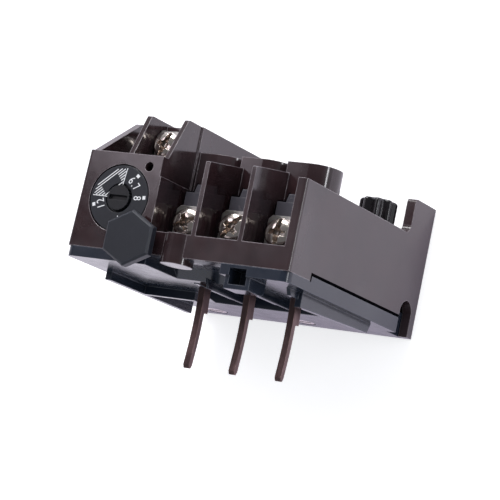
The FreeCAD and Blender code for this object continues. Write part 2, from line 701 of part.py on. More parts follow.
def prong_passage(pole):
    wide = PRONG_THICKNESS / 2 + PRONG_PASSAGE_CLEARANCE
    front = PRONG_DEPTH - PRONG_DEEP / 2 - PRONG_PASSAGE_CLEARANCE
    back = PRONG_DEPTH + PRONG_DEEP / 2 + PRONG_SHOULDER_EXTRA + PRONG_BOW
    return block(pole - wide, pole + wide, BASE_BOTTOM - 2, BASE_RIM_TOP + 1,
                 front, back + PRONG_PASSAGE_CLEARANCE)


def base_cuts():
    x0 = POLES[0] - SCOOP_SPREAD - 1.1
    x1 = POLES[1] + SCOOP_SPREAD - 0.7
    scoop = plate_x([(BASE_BOTTOM - 1, -1), (1, -1), (1, SCOOP_DEPTH),
                     (BASE_BOTTOM - 1, SCOOP_DEPTH + 4.5)], x0, x1)
    cuts = [scoop] + [prong_passage(pole) for pole in POLES]
    for x, depth in COVER_SCREWS:
        cuts.append(rod_y(x, depth, COVER_HEAD_RADIUS + 0.2, BASE_BOTTOM - 1,
                          BASE_BOTTOM + 1.0))
        cuts.append(rod_y(x, depth, COVER_SHAFT_RADIUS + 0.2, BASE_BOTTOM - 1,
                          BASE_RIM_TOP + 1))
    return cuts


def base_cover():
    boss, slot = contactor_boss()
    shapes = base_plate() + base_ribs() + skirt_left() + [skirt_right()] + prong_ridges()
    body = cut(fuse(shapes), base_cuts())
    return cut(fuse([body, boss]), [slot]).removeSplitter()


# ---- current path --------------------------------------------------------

def prong(pole):
    """Flat blade, bowed towards the back, with a wider root inside the base."""
    half = PRONG_DEEP / 2
    front = PRONG_DEPTH - half
    back = PRONG_DEPTH + half
    wide = back + PRONG_SHOULDER_EXTRA
    low = BASE_BOTTOM
    steps = 8
    bow = [math.sin(math.pi * i / steps) * PRONG_BOW for i in range(steps + 1)]
    ys = [low + (PRONG_TIP + 0.6 - low) * i / steps for i in range(steps + 1)]
    front_line = [(y, front + b) for y, b in zip(ys, bow)]
    rear_line = [(y, back + b) for y, b in zip(ys, bow) if y < PRONG_SHOULDER]
    inside = [(BLADE_TOP, front), (BLADE_TOP, STRIP_DEPTHS[1]),
              (STRIP_BOTTOM, STRIP_DEPTHS[1]), (STRIP_BOTTOM - 0.6, wide)]
    shoulder = [(PRONG_SHOULDER, wide + PRONG_BOW), (PRONG_SHOULDER, back + PRONG_BOW)]
    tip = [(PRONG_TIP, PRONG_DEPTH + 0.2), (PRONG_TIP, PRONG_DEPTH - 0.2)]
    outline = inside + [(low, wide)] + shoulder + rear_line + tip + front_line[::-1]
    return plate_x(outline, pole - PRONG_THICKNESS / 2, pole + PRONG_THICKNESS / 2)


def terminal_plate(pole):
    front = block(pole - PLATE_HALF, pole + PLATE_HALF, PLATE_BOTTOM, PLATE_TOP,
                  PLATE_FRONT, PLATE_BACK)
    lug = block(pole - LUG_WIDTH / 2, pole + LUG_WIDTH / 2, PLATE_BOTTOM,
                PLATE_BOTTOM + LUG_THICKNESS, PLATE_BACK - OVERCUT, LUG_BACK)
    hole = rod_z(pole, SCREW_Y, SCREW_HOLE_RADIUS, PLATE_FRONT - 1, PLATE_BACK + 1)
    return cut(fuse([front, lug]), [hole])


def terminal_block(pole):
    """Seat behind the plate, with a channel for the lug and the screw's end."""
    body = block(pole - BLOCK_HALF, pole + BLOCK_HALF, BAY_FLOOR_TOP, BLOCK_TOP,
                 PLATE_BACK, BLOCK_BACK)
    half = SCREW_SHAFT_RADIUS + 0.3
    channel = block(pole - half, pole + half, BAY_FLOOR_TOP - 1, SCREW_Y + half,
                    PLATE_BACK - 1, BLOCK_BACK + 1)
    return cut(body, [channel])


def screw(x, y, head_front, head_height, head_radius, shaft_radius, shaft_end):
    head = rod_z(x, y, head_radius, head_front, head_front + head_height)
    head = head.makeChamfer(head_height * 0.4, front_rim(head, head_front))
    shaft = rod_z(x, y, shaft_radius, head_front + head_height - OVERCUT, shaft_end)
    reach = head_radius * 0.72
    half = SCREW_SLOT / 2
    bottom = head_front + SCREW_SLOT_DEEP
    slots = [block(x - reach, x + reach, y - half, y + half, head_front - 1, bottom),
             block(x - half, x + half, y - reach, y + reach, head_front - 1, bottom)]
    return cut(fuse([head, shaft]), slots)


def main_screw(pole):
    return screw(pole, SCREW_Y, SCREW_HEAD_FRONT, SCREW_HEAD_HEIGHT, SCREW_HEAD_RADIUS,
                 SCREW_SHAFT_RADIUS, SCREW_SHAFT_END)


def square_washer(x, y, half_x, half_y, front, back, hole_radius):
    clip = WASHER_CLIP
    outline = [(x - half_x, y - half_y + clip), (x - half_x, y + half_y - clip),
               (x - half_x + clip, y + half_y), (x + half_x - clip, y + half_y),
               (x + half_x, y + half_y - clip), (x + half_x, y - half_y + clip),
               (x + half_x - clip, y - half_y), (x - half_x + clip, y - half_y)]
    hole = rod_z(x, y, hole_radius, front - 1, back + 1)
    return cut(plate_z(outline, front, back), [hole])


def clamp_washer(pole):
    return square_washer(pole, SCREW_Y, PLATE_HALF, WASHER_HALF_HEIGHT, WASHER_FRONT,
                         WASHER_FRONT + WASHER_THICKNESS, SCREW_SHAFT_RADIUS + 0.06)


def aux_plate(x, plate, half):
    back = plate + AUX_PLATE_THICKNESS
    foot = DIAL_BOX_TOP + AUX_PLATE_FOOT
    body = block(x - half, x + half, foot, foot + AUX_PLATE_HEIGHT, plate, back)
    tail = block(x - AUX_TAIL_WIDTH / 2, x + AUX_TAIL_WIDTH / 2,
                 DIAL_BOX_TOP - AUX_TAIL_DROP, foot + OVERCUT, plate, back)
    hole = rod_z(x, AUX_SCREW_Y, AUX_HOLE_RADIUS, plate - 1, back + 1)
    return cut(fuse([body, tail]), [hole])


def aux_washer(x, plate, half):
    back = plate - AUX_WASHER_GAP
    return square_washer(x, AUX_SCREW_Y, half, AUX_WASHER_HALF_HEIGHT,
                         back - AUX_WASHER_THICKNESS, back, AUX_SHAFT_RADIUS + 0.06)


def aux_screw(x, plate):
    washer_front = plate - AUX_WASHER_GAP - AUX_WASHER_THICKNESS
    front = washer_front - 0.05 - AUX_HEAD_HEIGHT
    return screw(x, AUX_SCREW_Y, front, AUX_HEAD_HEIGHT, AUX_HEAD_RADIUS,
                 AUX_SHAFT_RADIUS, plate + AUX_SHAFT_LENGTH)


def bimetal_strip(pole):
    x0 = pole + STRIP_OFFSET - STRIP_THICKNESS / 2
    return block(x0, x0 + STRIP_THICKNESS, STRIP_BOTTOM,
                 SLIDER_SPAN_Y[1] + STRIP_OVER_SLIDER, STRIP_DEPTHS[0], STRIP_DEPTHS[1])


def around_strip(pole, offset, y0, y1):
    half = STRIP_THICKNESS / 2 + offset
    x = pole + STRIP_OFFSET
    return block(x - half, x + half, y0, y1, STRIP_DEPTHS[0] - offset,
                 STRIP_DEPTHS[1] + offset)


def mica_sleeve(pole):
    outer = around_strip(pole, SLEEVE_GAP + SLEEVE_THICKNESS, SLEEVE_SPAN[0], SLEEVE_SPAN[1])
    inner = around_strip(pole, SLEEVE_GAP, SLEEVE_SPAN[0] - 1, SLEEVE_SPAN[1] + 1)
    return cut(outer, [inner])


def heater_winding(pole):
    """Flat strip wound round the sleeve, with a link down to the plate's lug."""
    inside = SLEEVE_GAP + SLEEVE_THICKNESS
    outside = inside + COIL_WIRE
    y0 = SLEEVE_SPAN[0] + COIL_MARGIN
    y1 = SLEEVE_SPAN[1] - COIL_MARGIN
    pitch = (y1 - y0 - COIL_WIDTH) / (COIL_TURNS - 1)
    shapes = [around_strip(pole, outside, y0 + turn * pitch, y0 + turn * pitch + COIL_WIDTH)
              for turn in range(COIL_TURNS)]
    hollow = around_strip(pole, inside, y0 - 1, y1 + 1)
    x = pole + STRIP_OFFSET
    half = COIL_WIRE / 2
    front = STRIP_DEPTHS[0] - outside
    lug_top = PLATE_BOTTOM + LUG_THICKNESS
    link = block(x - half, x + half, lug_top, y1, front, front + COIL_WIRE)
    return fuse([cut(shape, [hollow]) for shape in shapes] + [link])


# ---- trip slider ---------------------------------------------------------

def trip_slider():
    low, high = SLIDER_SPAN_Y
    touch = STRIP_OFFSET - STRIP_THICKNESS / 2 - FINGER_GAP
    shapes = [block(SLIDER_LEFT, POLES[-1] + touch, low, high, SLIDER_FRONT, SLIDER_BACK),
              block(SLIDER_LEFT, SLIDER_LEFT + SLIDER_HEAD, low, high, SLIDER_FRONT,
                    SLIDER_HEAD_BACK)]
    for pole in POLES:
        shapes.append(block(pole + touch - FINGER_THICKNESS, pole + touch, low, high,
                            STRIP_DEPTHS[1] - FINGER_OVERLAP, SLIDER_FRONT + OVERCUT))
    return fuse(shapes)


# ---- dial ----------------------------------------------------------------

def current_dial():
    disc = rod_z(DIAL_X, DIAL_Y, DIAL_RADIUS, 0.05, DIAL_THICKNESS)
    shaft = rod_z(DIAL_X, DIAL_Y, DIAL_SHAFT_RADIUS, DIAL_THICKNESS - OVERCUT, CAM_DEPTHS[1])
    well = rod_z(DIAL_X, DIAL_Y, HUB_RADIUS + 0.35, -OVERCUT, 0.7)
    return cut(fuse([disc, shaft]), [well])


def dial_hub():
    points = []
    for i in range(HUB_TEETH * 2):
        radius = HUB_RADIUS - (HUB_TOOTH if i % 2 else 0)
        angle = math.pi * i / HUB_TEETH
        points.append((DIAL_X + radius * math.cos(angle), DIAL_Y + radius * math.sin(angle)))
    face = polygon([at(x, y, 0.7) for x, y in points])
    body = face.extrude(FreeCAD.Vector(0, 0, 0.7 + HUB_PROUD))
    half = HUB_SLOT_WIDTH / 2
    slot = block(DIAL_X - HUB_RADIUS * 0.8, DIAL_X + HUB_RADIUS * 0.8,
                 DIAL_Y - half, DIAL_Y + half, -1, 0.35)
    return cut(body, [slot])


def cam_radius(angle):
    """Radius that meets the follower once the dial has turned this far."""
    if angle <= CAM_SWEEP:
        return CAM_RADIUS + CAM_RISE * angle / CAM_SWEEP
    return CAM_RADIUS + CAM_RISE * (360.0 - angle) / (360.0 - CAM_SWEEP)


def dial_cam():
    points = []
    for i in range(CAM_STEPS):
        turned = 360.0 * i / CAM_STEPS
        angle = math.radians(180.0 - turned)
        radius = cam_radius(turned)
        points.append((DIAL_X + radius * math.cos(angle), DIAL_Y + radius * math.sin(angle)))
    face = polygon([at(x, y, CAM_DEPTHS[1]) for x, y in points])
    body = face.extrude(FreeCAD.Vector(0, 0, CAM_DEPTHS[1] - CAM_DEPTHS[0]))
    return cut(body, [rod_z(DIAL_X, DIAL_Y, DIAL_SHAFT_RADIUS, 2, CAM_DEPTHS[1] + 1)])


# ---- adjusting lever -----------------------------------------------------

def adjust_lever():
    x, y = ADJUST_PIVOT
    tube = rod_z(x, y, LEVER_HUB_RADIUS, FRONT_WALL + 0.3, CHEEK_FRONT[0] - 0.2)
    nose_x = DIAL_X - CAM_RADIUS - NOSE_GAP - NOSE_RADIUS
    arm = plate_z([(x - 0.9, y), (x + 0.9, y), (nose_x + 0.45, DIAL_Y),
                   (nose_x - 0.55, DIAL_Y)], CAM_DEPTHS[0], CAM_DEPTHS[1])
    nose = rod_z(nose_x, DIAL_Y, NOSE_RADIUS, CAM_DEPTHS[0], CAM_DEPTHS[1])
    post = block(x, x + POST_THICKNESS, y + 1.0, y + 5.0,
                 CHEEK_FRONT[0] - 0.2 - POST_LENGTH, CHEEK_FRONT[0] - 0.2)
    hole = rod_z(x, y, PIN_RADIUS + RUNNING_CLEARANCE, 0, CHEEK_FRONT[1])
    return cut(fuse([tube, arm, nose, post]), [hole])


def compensation_strip():
    """Second bimetal, riveted to the lever and reaching over the front cheek."""
    x, y = ADJUST_PIVOT
    foot = y + LEVER_HUB_RADIUS + 0.1
    front = CHEEK_FRONT[0] - POST_LENGTH
    over = CHEEK_TOP + 0.6
    outline = [(foot, front), (COMPENSATION_TOP, front),
               (COMPENSATION_TOP, COMPENSATION_DEPTHS[1]), (over, COMPENSATION_DEPTHS[1]),
               (over, CHEEK_FRONT[0] - 0.4), (foot, CHEEK_FRONT[0] - 0.4)]
    return plate_x(outline, x - COMPENSATION_THICKNESS, x)


# ---- trip lever and contacts ---------------------------------------------

def trip_lever():
    x, y = TRIP_PIVOT
    hub = rod_z(x, y, LEVER_HUB_RADIUS, TRIP_DEPTHS[0], TRIP_DEPTHS[1])
    x0, x1 = x + TRIP_TAIL_REACH[0], x + TRIP_TAIL_REACH[1]
    y0, y1 = TRIP_TAIL_SPAN_Y
    upper = plate_z([(x - 0.9, y), (x + 0.8, y), (SLIDER_LEFT - 0.2, TRIP_TOP),
                     (SLIDER_LEFT - 1.2, TRIP_TOP)], TRIP_DEPTHS[0], TRIP_DEPTHS[1])
    lower = plate_z([(x - 1.4, y), (x + 0.4, y), (x1, y0), (x0, y0)],
                    TRIP_DEPTHS[0], TRIP_DEPTHS[1])
    peg = block(x0, x1, y0, y1, TRIP_DEPTHS[1] - OVERCUT, TRIP_PEG_END)
    hole = rod_z(x, y, PIN_RADIUS + RUNNING_CLEARANCE,
                 TRIP_DEPTHS[0] - 1, TRIP_DEPTHS[1] + 1)
    return cut(fuse([hub, upper, lower, peg]), [hole])


def contact_arm():
    x, y = CONTACT_PIVOT
    half = CONTACT_THICKNESS / 2
    front, back = CONTACT_DEPTHS
    hub = rod_z(x, y, LEVER_HUB_RADIUS, front, back)
    arm = block(x - half, x + half, y, CONTACT_TOP, front, back)
    hole = rod_z(x, y, PIN_RADIUS + RUNNING_CLEARANCE, front - 1, back + 1)
    return cut(fuse([hub, arm]), [hole])


def contact_pad(x0, x1):
    depth = sum(CONTACT_DEPTHS) / 2
    return block(x0, x1, PAD_Y - PAD_HALF, PAD_Y + PAD_HALF, depth - PAD_HALF,
                 depth + PAD_HALF)


def moving_pads():
    x = CONTACT_PIVOT[0]
    half = CONTACT_THICKNESS / 2
    return group([contact_pad(x - half - PAD_THICKNESS, x - half),
                  contact_pad(x + half, x + half + PAD_THICKNESS)])


def nc_face():
    return CONTACT_PIVOT[0] - CONTACT_THICKNESS / 2 - PAD_THICKNESS - NC_GAP


def no_face():
    return CONTACT_PIVOT[0] + CONTACT_THICKNESS / 2 + PAD_THICKNESS + NO_GAP


def nc_leaf_x():
    return nc_face() - PAD_THICKNESS - LEAF_THICKNESS


def no_leaf_x():
    return no_face() + PAD_THICKNESS


def fixed_contact(x0, plate):
    """Leaf from the tail of an auxiliary plate to its contact pad."""
    front, back = CONTACT_DEPTHS
    low, high = LEAF_SPAN_Y
    foot = PAD_Y - PAD_HALF - 0.3
    start = plate + AUX_PLATE_THICKNESS
    outline = [(low, start), (high, start), (high, back), (foot, back), (foot, front),
               (low, front)]
    return plate_x(outline, x0, x0 + LEAF_THICKNESS)


def fixed_pads():
    return group([contact_pad(nc_face() - PAD_THICKNESS, nc_face()),
                  contact_pad(no_face(), no_face() + PAD_THICKNESS)])


def mechanism_frame():
    """Two cheeks on a bridge, with the pivot holes and the slots for the leaves."""
    x0, x1 = CHEEK_X
    low = CHEEK_CLEARANCE
    front, rear = CHEEK_FRONT, CHEEK_REAR
    body = fuse([block(x0, x1, low, CHEEK_TOP, front[0], front[1]),
                 block(x0, x1, low, CHEEK_TOP, rear[0], rear[1]),
                 block(x0 + BASE_RIM + BASE_CLEARANCE, x1, low, low + BRIDGE_HEIGHT,
                       front[0], rear[1])])
    holes = [rod_z(x, y, PIN_RADIUS, front[0] - 1, rear[1] + 1)
             for x, y in (TRIP_PIVOT, CONTACT_PIVOT)]
    holes.append(rod_z(ADJUST_PIVOT[0], ADJUST_PIVOT[1], PIN_RADIUS, front[0] - 1,
                       front[1] + 1))
    slots = [block(x, x + LEAF_THICKNESS, LEAF_SPAN_Y[0], LEAF_SPAN_Y[1],
                   front[0] - 1, front[1] + 1) for x in (nc_leaf_x(), no_leaf_x())]
    rim = block(0, WALL + BASE_RIM + 2 * BASE_CLEARANCE, -1,
                BASE_RIM_TOP + BASE_CLEARANCE, front[0] - 1, rear[1] + 1)
    return cut(body, holes + slots + [rim])


def pivot_pin(centre, front, back):
    return rod_z(centre[0], centre[1], PIN_RADIUS, front, back)


def pivot_pins():
    return group([pivot_pin(ADJUST_PIVOT, PIN_FRONT, CHEEK_FRONT[1]),
                  pivot_pin(TRIP_PIVOT, CHEEK_FRONT[0], CHEEK_REAR[1]),
                  pivot_pin(CONTACT_PIVOT, CHEEK_FRONT[0], CHEEK_REAR[1])])


# ---- reset button --------------------------------------------------------

def hexagon(width, height, depth):
    quarter = height / 4
    points = [(0, height / 2), (width / 2, quarter), (width / 2, -quarter),
              (0, -height / 2), (-width / 2, -quarter), (-width / 2, quarter)]
    ring = [at(BUTTON_X + x, BUTTON_Y + y, depth) for x, y in points]
    return Part.makePolygon(ring + [ring[0]])


def reset_button():
    head = Part.Face(hexagon(BUTTON_WIDTH, BUTTON_HEIGHT, BUTTON_BACK))
    head = head.extrude(FreeCAD.Vector(0, 0, BUTTON_BACK - BUTTON_FRONT))
    head = head.makeChamfer(BUTTON_BEVEL, front_rim(head, BUTTON_FRONT))
    half_w = STEM_WIDTH / 2
    half_h = STEM_HEIGHT / 2
    stem = block(STEM_X - half_w, STEM_X + half_w, STEM_Y - half_h, STEM_Y + half_h,
                 BUTTON_BACK - OVERCUT, STEM_END)
    collar = block(STEM_X - half_w, STEM_X + half_w, STEM_Y - half_h,
                   STEM_Y + half_h + 1.0, FRONT_WALL + 0.1, FRONT_WALL + 1.6)
    spigot = rod_z(STEM_X, STEM_Y, SPIGOT_RADIUS, STEM_END - OVERCUT, STEM_END + 2.6)
    return fuse([head, stem, collar, spigot])


def reset_spring():
    """Coil between the stem's shoulder and the front cheek of the frame."""
    half = SPRING_WIRE / 2
    start = STEM_END + half + 0.02
    end = CHEEK_FRONT[0] - half - 0.02
    helix = Part.makeHelix((end - start) / SPRING_TURNS, end - start, SPRING_RADIUS)
    corners = [FreeCAD.Vector(SPRING_RADIUS + x * half, 0, z * half)
               for x, z in ((-1, -1), (1, -1), (1, 1), (-1, 1), (-1, -1))]
    coil = Part.Wire(helix).makePipeShell([Part.makePolygon(corners)], True, True)
    coil.translate(at(STEM_X, STEM_Y, end))
    return coil


# ---- reset mode knob -----------------------------------------------------

def reset_mode_knob():
    shapes = [rod_y(KNOB_X, KNOB_DEPTH, KNOB_CORE_RADIUS, KNOB_BOTTOM, KNOB_TOP),
              rod_y(KNOB_X, KNOB_DEPTH, KNOB_SHAFT_RADIUS, KNOB_TAIL, KNOB_BOTTOM + 1)]
    ring = KNOB_RADIUS - KNOB_LOBE_RADIUS
    for i in range(KNOB_LOBES):
        angle = 2 * math.pi * (i + 0.5) / KNOB_LOBES
        shapes.append(rod_y(KNOB_X + ring * math.cos(angle),
                            KNOB_DEPTH + ring * math.sin(angle), KNOB_LOBE_RADIUS,
                            KNOB_BOTTOM, KNOB_TOP))
    slot = block(KNOB_X - KNOB_RADIUS * 0.6, KNOB_X + KNOB_RADIUS * 0.6,
                 KNOB_TOP - 1.0, KNOB_TOP + 1, KNOB_DEPTH - 0.5, KNOB_DEPTH + 0.5)
    return cut(fuse(shapes), [slot])


def mode_cam():
    """Cam pressed on the knob's tail, below the deck."""
    top = DECK_TOP - WALL - 0.3
    body = rod_y(KNOB_X, KNOB_DEPTH, KNOB_CAM_RADIUS, KNOB_TAIL, top)
    flat = block(KNOB_X + KNOB_CAM_FLAT, KNOB_X + KNOB_CAM_RADIUS + 1, KNOB_TAIL - 1,
                 top + 1, KNOB_DEPTH - KNOB_CAM_RADIUS - 1, KNOB_DEPTH + KNOB_CAM_RADIUS + 1)
    bore = rod_y(KNOB_X, KNOB_DEPTH, KNOB_SHAFT_RADIUS, KNOB_TAIL - 1, top + 1)
    return cut(body, [flat, bore])


def cover_screw(x, depth):
    bottom = BASE_BOTTOM + 0.05
    reach = COVER_HEAD_RADIUS * 0.75
    head = rod_y(x, depth, COVER_HEAD_RADIUS, bottom, BASE_BOTTOM + 1.0)
    shaft = rod_y(x, depth, COVER_SHAFT_RADIUS, BASE_BOTTOM + 0.8, COVER_SCREW_TOP)
    slot = block(x - reach, x + reach, bottom - 1, bottom + 0.5, depth - 0.35, depth + 0.35)
    return cut(fuse([head, shaft]), [slot])


def save(name, shape):
    shape.exportStep("parts/" + name + ".step")


save("main_housing", main_housing())
save("base_cover", base_cover())
save("terminal_blocks", group([terminal_block(pole) for pole in POLES]))
save("terminal_plates", group([terminal_plate(pole) for pole in POLES]))
save("bimetal_strips", group([bimetal_strip(pole) for pole in POLES]))
save("mica_sleeves", group([mica_sleeve(pole) for pole in POLES]))
save("heater_windings", group([heater_winding(pole) for pole in POLES]))
for number, pole in enumerate(POLES, 1):
    save("contactor_prong_%d" % number, prong(pole))
    save("clamp_washer_%d" % number, clamp_washer(pole))
    save("terminal_screw_%d" % number, main_screw(pole))
for number, (x, plate) in enumerate(AUX_TERMINALS, 1):
    half_width = (AUX_BAYS[number - 1][1] - AUX_BAYS[number - 1][0]) / 2 - AUX_SIDE_GAP
    save("aux_plate_%d" % number, aux_plate(x, plate, half_width))
    save("aux_washer_%d" % number, aux_washer(x, plate, half_width))
    save("aux_screw_%d" % number, aux_screw(x, plate))
save("trip_slider", trip_slider())
save("current_dial", current_dial())
save("dial_hub", dial_hub())
save("dial_cam", dial_cam())
save("adjust_lever", adjust_lever())
save("compensation_strip", compensation_strip())
save("trip_lever", trip_lever())
save("contact_arm", contact_arm())
save("moving_pads", moving_pads())
save("nc_contact", fixed_contact(nc_leaf_x(), AUX_TERMINALS[0][1]))
save("no_contact", fixed_contact(no_leaf_x(), AUX_TERMINALS[1][1]))
save("fixed_pads", fixed_pads())
save("mechanism_frame", mechanism_frame())
save("pivot_pins", pivot_pins())
save("reset_button", reset_button())
save("reset_spring", reset_spring())
save("reset_mode_knob", reset_mode_knob())
save("mode_cam", mode_cam())
save("cover_screws", group([cover_screw(x, depth) for x, depth in COVER_SCREWS]))
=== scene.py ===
import math

import bmesh
import bpy
from mathutils import Matrix, Vector


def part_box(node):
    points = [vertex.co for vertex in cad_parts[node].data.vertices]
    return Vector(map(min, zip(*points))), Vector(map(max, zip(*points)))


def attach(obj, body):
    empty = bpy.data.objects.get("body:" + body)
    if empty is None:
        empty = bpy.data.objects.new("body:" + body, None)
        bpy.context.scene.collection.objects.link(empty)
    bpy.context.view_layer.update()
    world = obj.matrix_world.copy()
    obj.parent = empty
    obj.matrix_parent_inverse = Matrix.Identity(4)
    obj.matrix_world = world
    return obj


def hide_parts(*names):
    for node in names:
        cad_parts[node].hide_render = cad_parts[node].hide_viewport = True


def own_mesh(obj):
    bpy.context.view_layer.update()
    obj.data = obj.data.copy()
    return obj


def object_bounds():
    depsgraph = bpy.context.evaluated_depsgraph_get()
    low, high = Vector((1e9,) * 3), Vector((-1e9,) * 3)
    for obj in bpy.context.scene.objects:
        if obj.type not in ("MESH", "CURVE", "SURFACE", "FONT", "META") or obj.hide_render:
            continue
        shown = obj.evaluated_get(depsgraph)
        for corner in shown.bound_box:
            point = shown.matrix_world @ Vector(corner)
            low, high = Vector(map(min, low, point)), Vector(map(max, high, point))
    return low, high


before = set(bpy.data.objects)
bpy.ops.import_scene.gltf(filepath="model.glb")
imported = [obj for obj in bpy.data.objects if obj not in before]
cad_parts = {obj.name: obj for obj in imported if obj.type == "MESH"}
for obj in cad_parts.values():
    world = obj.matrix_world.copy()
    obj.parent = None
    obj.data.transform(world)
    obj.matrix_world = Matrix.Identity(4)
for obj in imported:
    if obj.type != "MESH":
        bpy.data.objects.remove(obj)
cad_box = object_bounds()

MM = 0.001

# ---- camera --------------------------------------------------------------
CAMERA_AT = (0.23835, -0.066235, 0.42706)
CAMERA_RIGHT = (0.85745849, 0.19918457, -0.47443698)
CAMERA_UP = (-0.10028272, 0.969046, 0.22559529)
CAMERA_FORWARD = (-0.50468635, 0.14586077, -0.85089149)
FOCAL_LENGTH = 187.2
SENSOR_WIDTH = 36.0


def add_camera():
    data = bpy.data.cameras.new("camera")
    data.lens = FOCAL_LENGTH
    data.sensor_width = SENSOR_WIDTH
    data.clip_start = 0.01
    camera = bpy.data.objects.new("camera", data)
    bpy.context.scene.collection.objects.link(camera)
    columns = (CAMERA_RIGHT, CAMERA_UP, [-value for value in CAMERA_FORWARD])
    turn = Matrix(columns).transposed().to_4x4()
    camera.matrix_world = Matrix.Translation(CAMERA_AT) @ turn
    bpy.context.scene.camera = camera


# ---- light and floor -----------------------------------------------------
WHITE = (1.0, 1.0, 1.0, 1.0)
MATT_SKY = (0.93, 0.95, 1.0, 1.0)
MATT_SKY_STRENGTH = 0.5
GLOSS_SKY = (0.9, 0.93, 1.0, 1.0)
GLOSS_HORIZON = 0.85
GLOSS_OVERHEAD = 0.12
GLOSS_FADE_END = 0.75
WHITE_SKY_STRENGTH = 1.0

FLOOR_HALF = 1.5
FLOOR_GAP = 0.0002
FLOOR_COLOUR = (0.93, 0.93, 0.94, 1.0)
FLOOR_ROUGHNESS = 0.8
FLOOR_GLOWS = (("Is Camera Ray", WHITE, 0.6), ("Is Glossy Ray", (0.85, 0.7, 1.0, 1.0), 0.38))

# Name, offset from the object's middle, size, power and colour of each lamp.
LAMPS = (("key", (-0.12, 0.5, 0.4), (0.35, 0.25), 3.0, (1.0, 1.0, 1.0)),
         ("side", (0.56, 0.09, 0.21), (0.3, 0.06), 0.7, (0.95, 0.96, 1.0)),
         ("front", (-0.36, 0.2, 0.515), (0.16, 0.16), 0.21, (0.97, 0.9, 1.0)))


def add_lamp(name, offset, size, power, colour):
    data = bpy.data.lights.new(name, "AREA")
    data.shape = "RECTANGLE"
    data.size, data.size_y = size
    data.energy = power
    data.color = colour
    lamp = bpy.data.objects.new(name, data)
    bpy.context.scene.collection.objects.link(lamp)
    away = Vector(offset)
    lamp.location = (Vector(cad_box[0]) + Vector(cad_box[1])) / 2 + away
    lamp.rotation_euler = away.to_track_quat("Z", "Y").to_euler()


def add_world():
    """Even light for matt faces; gloss sees a dim sky over a paler horizon."""
    world = bpy.data.worlds.new("studio")
    bpy.context.scene.world = world
    world.use_nodes = True
    nodes = world.node_tree.nodes
    links = world.node_tree.links
    nodes.clear()
    shades = []
    for colour, strength in ((MATT_SKY, MATT_SKY_STRENGTH), (GLOSS_SKY, GLOSS_HORIZON),
                             (WHITE, WHITE_SKY_STRENGTH)):
        shade = nodes.new("ShaderNodeBackground")
        shade.inputs["Color"].default_value = colour
        shade.inputs["Strength"].default_value = strength
        shades.append(shade)
    matt, glossy, white = shades
    direction = nodes.new("ShaderNodeTexCoord")
    split = nodes.new("ShaderNodeSeparateXYZ")
    links.new(direction.outputs["Generated"], split.inputs[0])
    fade = nodes.new("ShaderNodeMapRange")
    fade.inputs["From Max"].default_value = GLOSS_FADE_END
    fade.inputs["To Min"].default_value = GLOSS_HORIZON
    fade.inputs["To Max"].default_value = GLOSS_OVERHEAD
    links.new(split.outputs["Z"], fade.inputs["Value"])
    links.new(fade.outputs["Result"], glossy.inputs["Strength"])
    path = nodes.new("ShaderNodeLightPath")
    lit = nodes.new("ShaderNodeMixShader")
    links.new(path.outputs["Is Glossy Ray"], lit.inputs["Fac"])
    links.new(matt.outputs[0], lit.inputs[1])
    links.new(glossy.outputs[0], lit.inputs[2])
    straight = nodes.new("ShaderNodeMath")
    straight.operation = "MAXIMUM"
    links.new(path.outputs["Is Camera Ray"], straight.inputs[0])
    links.new(path.outputs["Is Transmission Ray"], straight.inputs[1])
    seen = nodes.new("ShaderNodeMixShader")
    links.new(straight.outputs[0], seen.inputs["Fac"])
    links.new(lit.outputs[0], seen.inputs[1])
    links.new(white.outputs[0], seen.inputs[2])
    output = nodes.new("ShaderNodeOutputWorld")
    links.new(seen.outputs[0], output.inputs["Surface"])


def add_floor():
    """White floor that glows a little for the camera and in reflections."""
    mesh = bpy.data.meshes.new("floor")
    low = cad_box[0][2] - FLOOR_GAP
    corners = [(x * FLOOR_HALF, y * FLOOR_HALF, low)
               for x, y in ((-1, -1), (1, -1), (1, 1), (-1, 1))]
    mesh.from_pydata(corners, [], [(0, 1, 2, 3)])
    floor = bpy.data.objects.new("floor", mesh)
    bpy.context.scene.collection.objects.link(floor)
    material = bpy.data.materials.new("floor")
    material.use_nodes = True
    nodes = material.node_tree.nodes
    links = material.node_tree.links
    shader = nodes["Principled BSDF"]
    shader.inputs["Base Color"].default_value = FLOOR_COLOUR
    shader.inputs["Roughness"].default_value = FLOOR_ROUGHNESS
    path = nodes.new("ShaderNodeLightPath")
    surface = shader.outputs[0]
    for ray, colour, strength in FLOOR_GLOWS:
        glow = nodes.new("ShaderNodeEmission")
        glow.inputs["Color"].default_value = colour
        share = nodes.new("ShaderNodeMath")
        share.operation = "MULTIPLY"
        share.inputs[1].default_value = strength
        both = nodes.new("ShaderNodeAddShader")
        links.new(path.outputs[ray], share.inputs[0])
        links.new(share.outputs[0], glow.inputs["Strength"])
        links.new(surface, both.inputs[0])
        links.new(glow.outputs[0], both.inputs[1])
        surface = both.outputs[0]
    links.new(surface, nodes["Material Output"].inputs["Surface"])
    mesh.materials.append(material)


# ---- materials -----------------------------------------------------------
RAY_SAMPLES = 6
# Near black of the painted shade in creases and gaps.
CREASE_SHADE = (0.002, 0.002, 0.002)


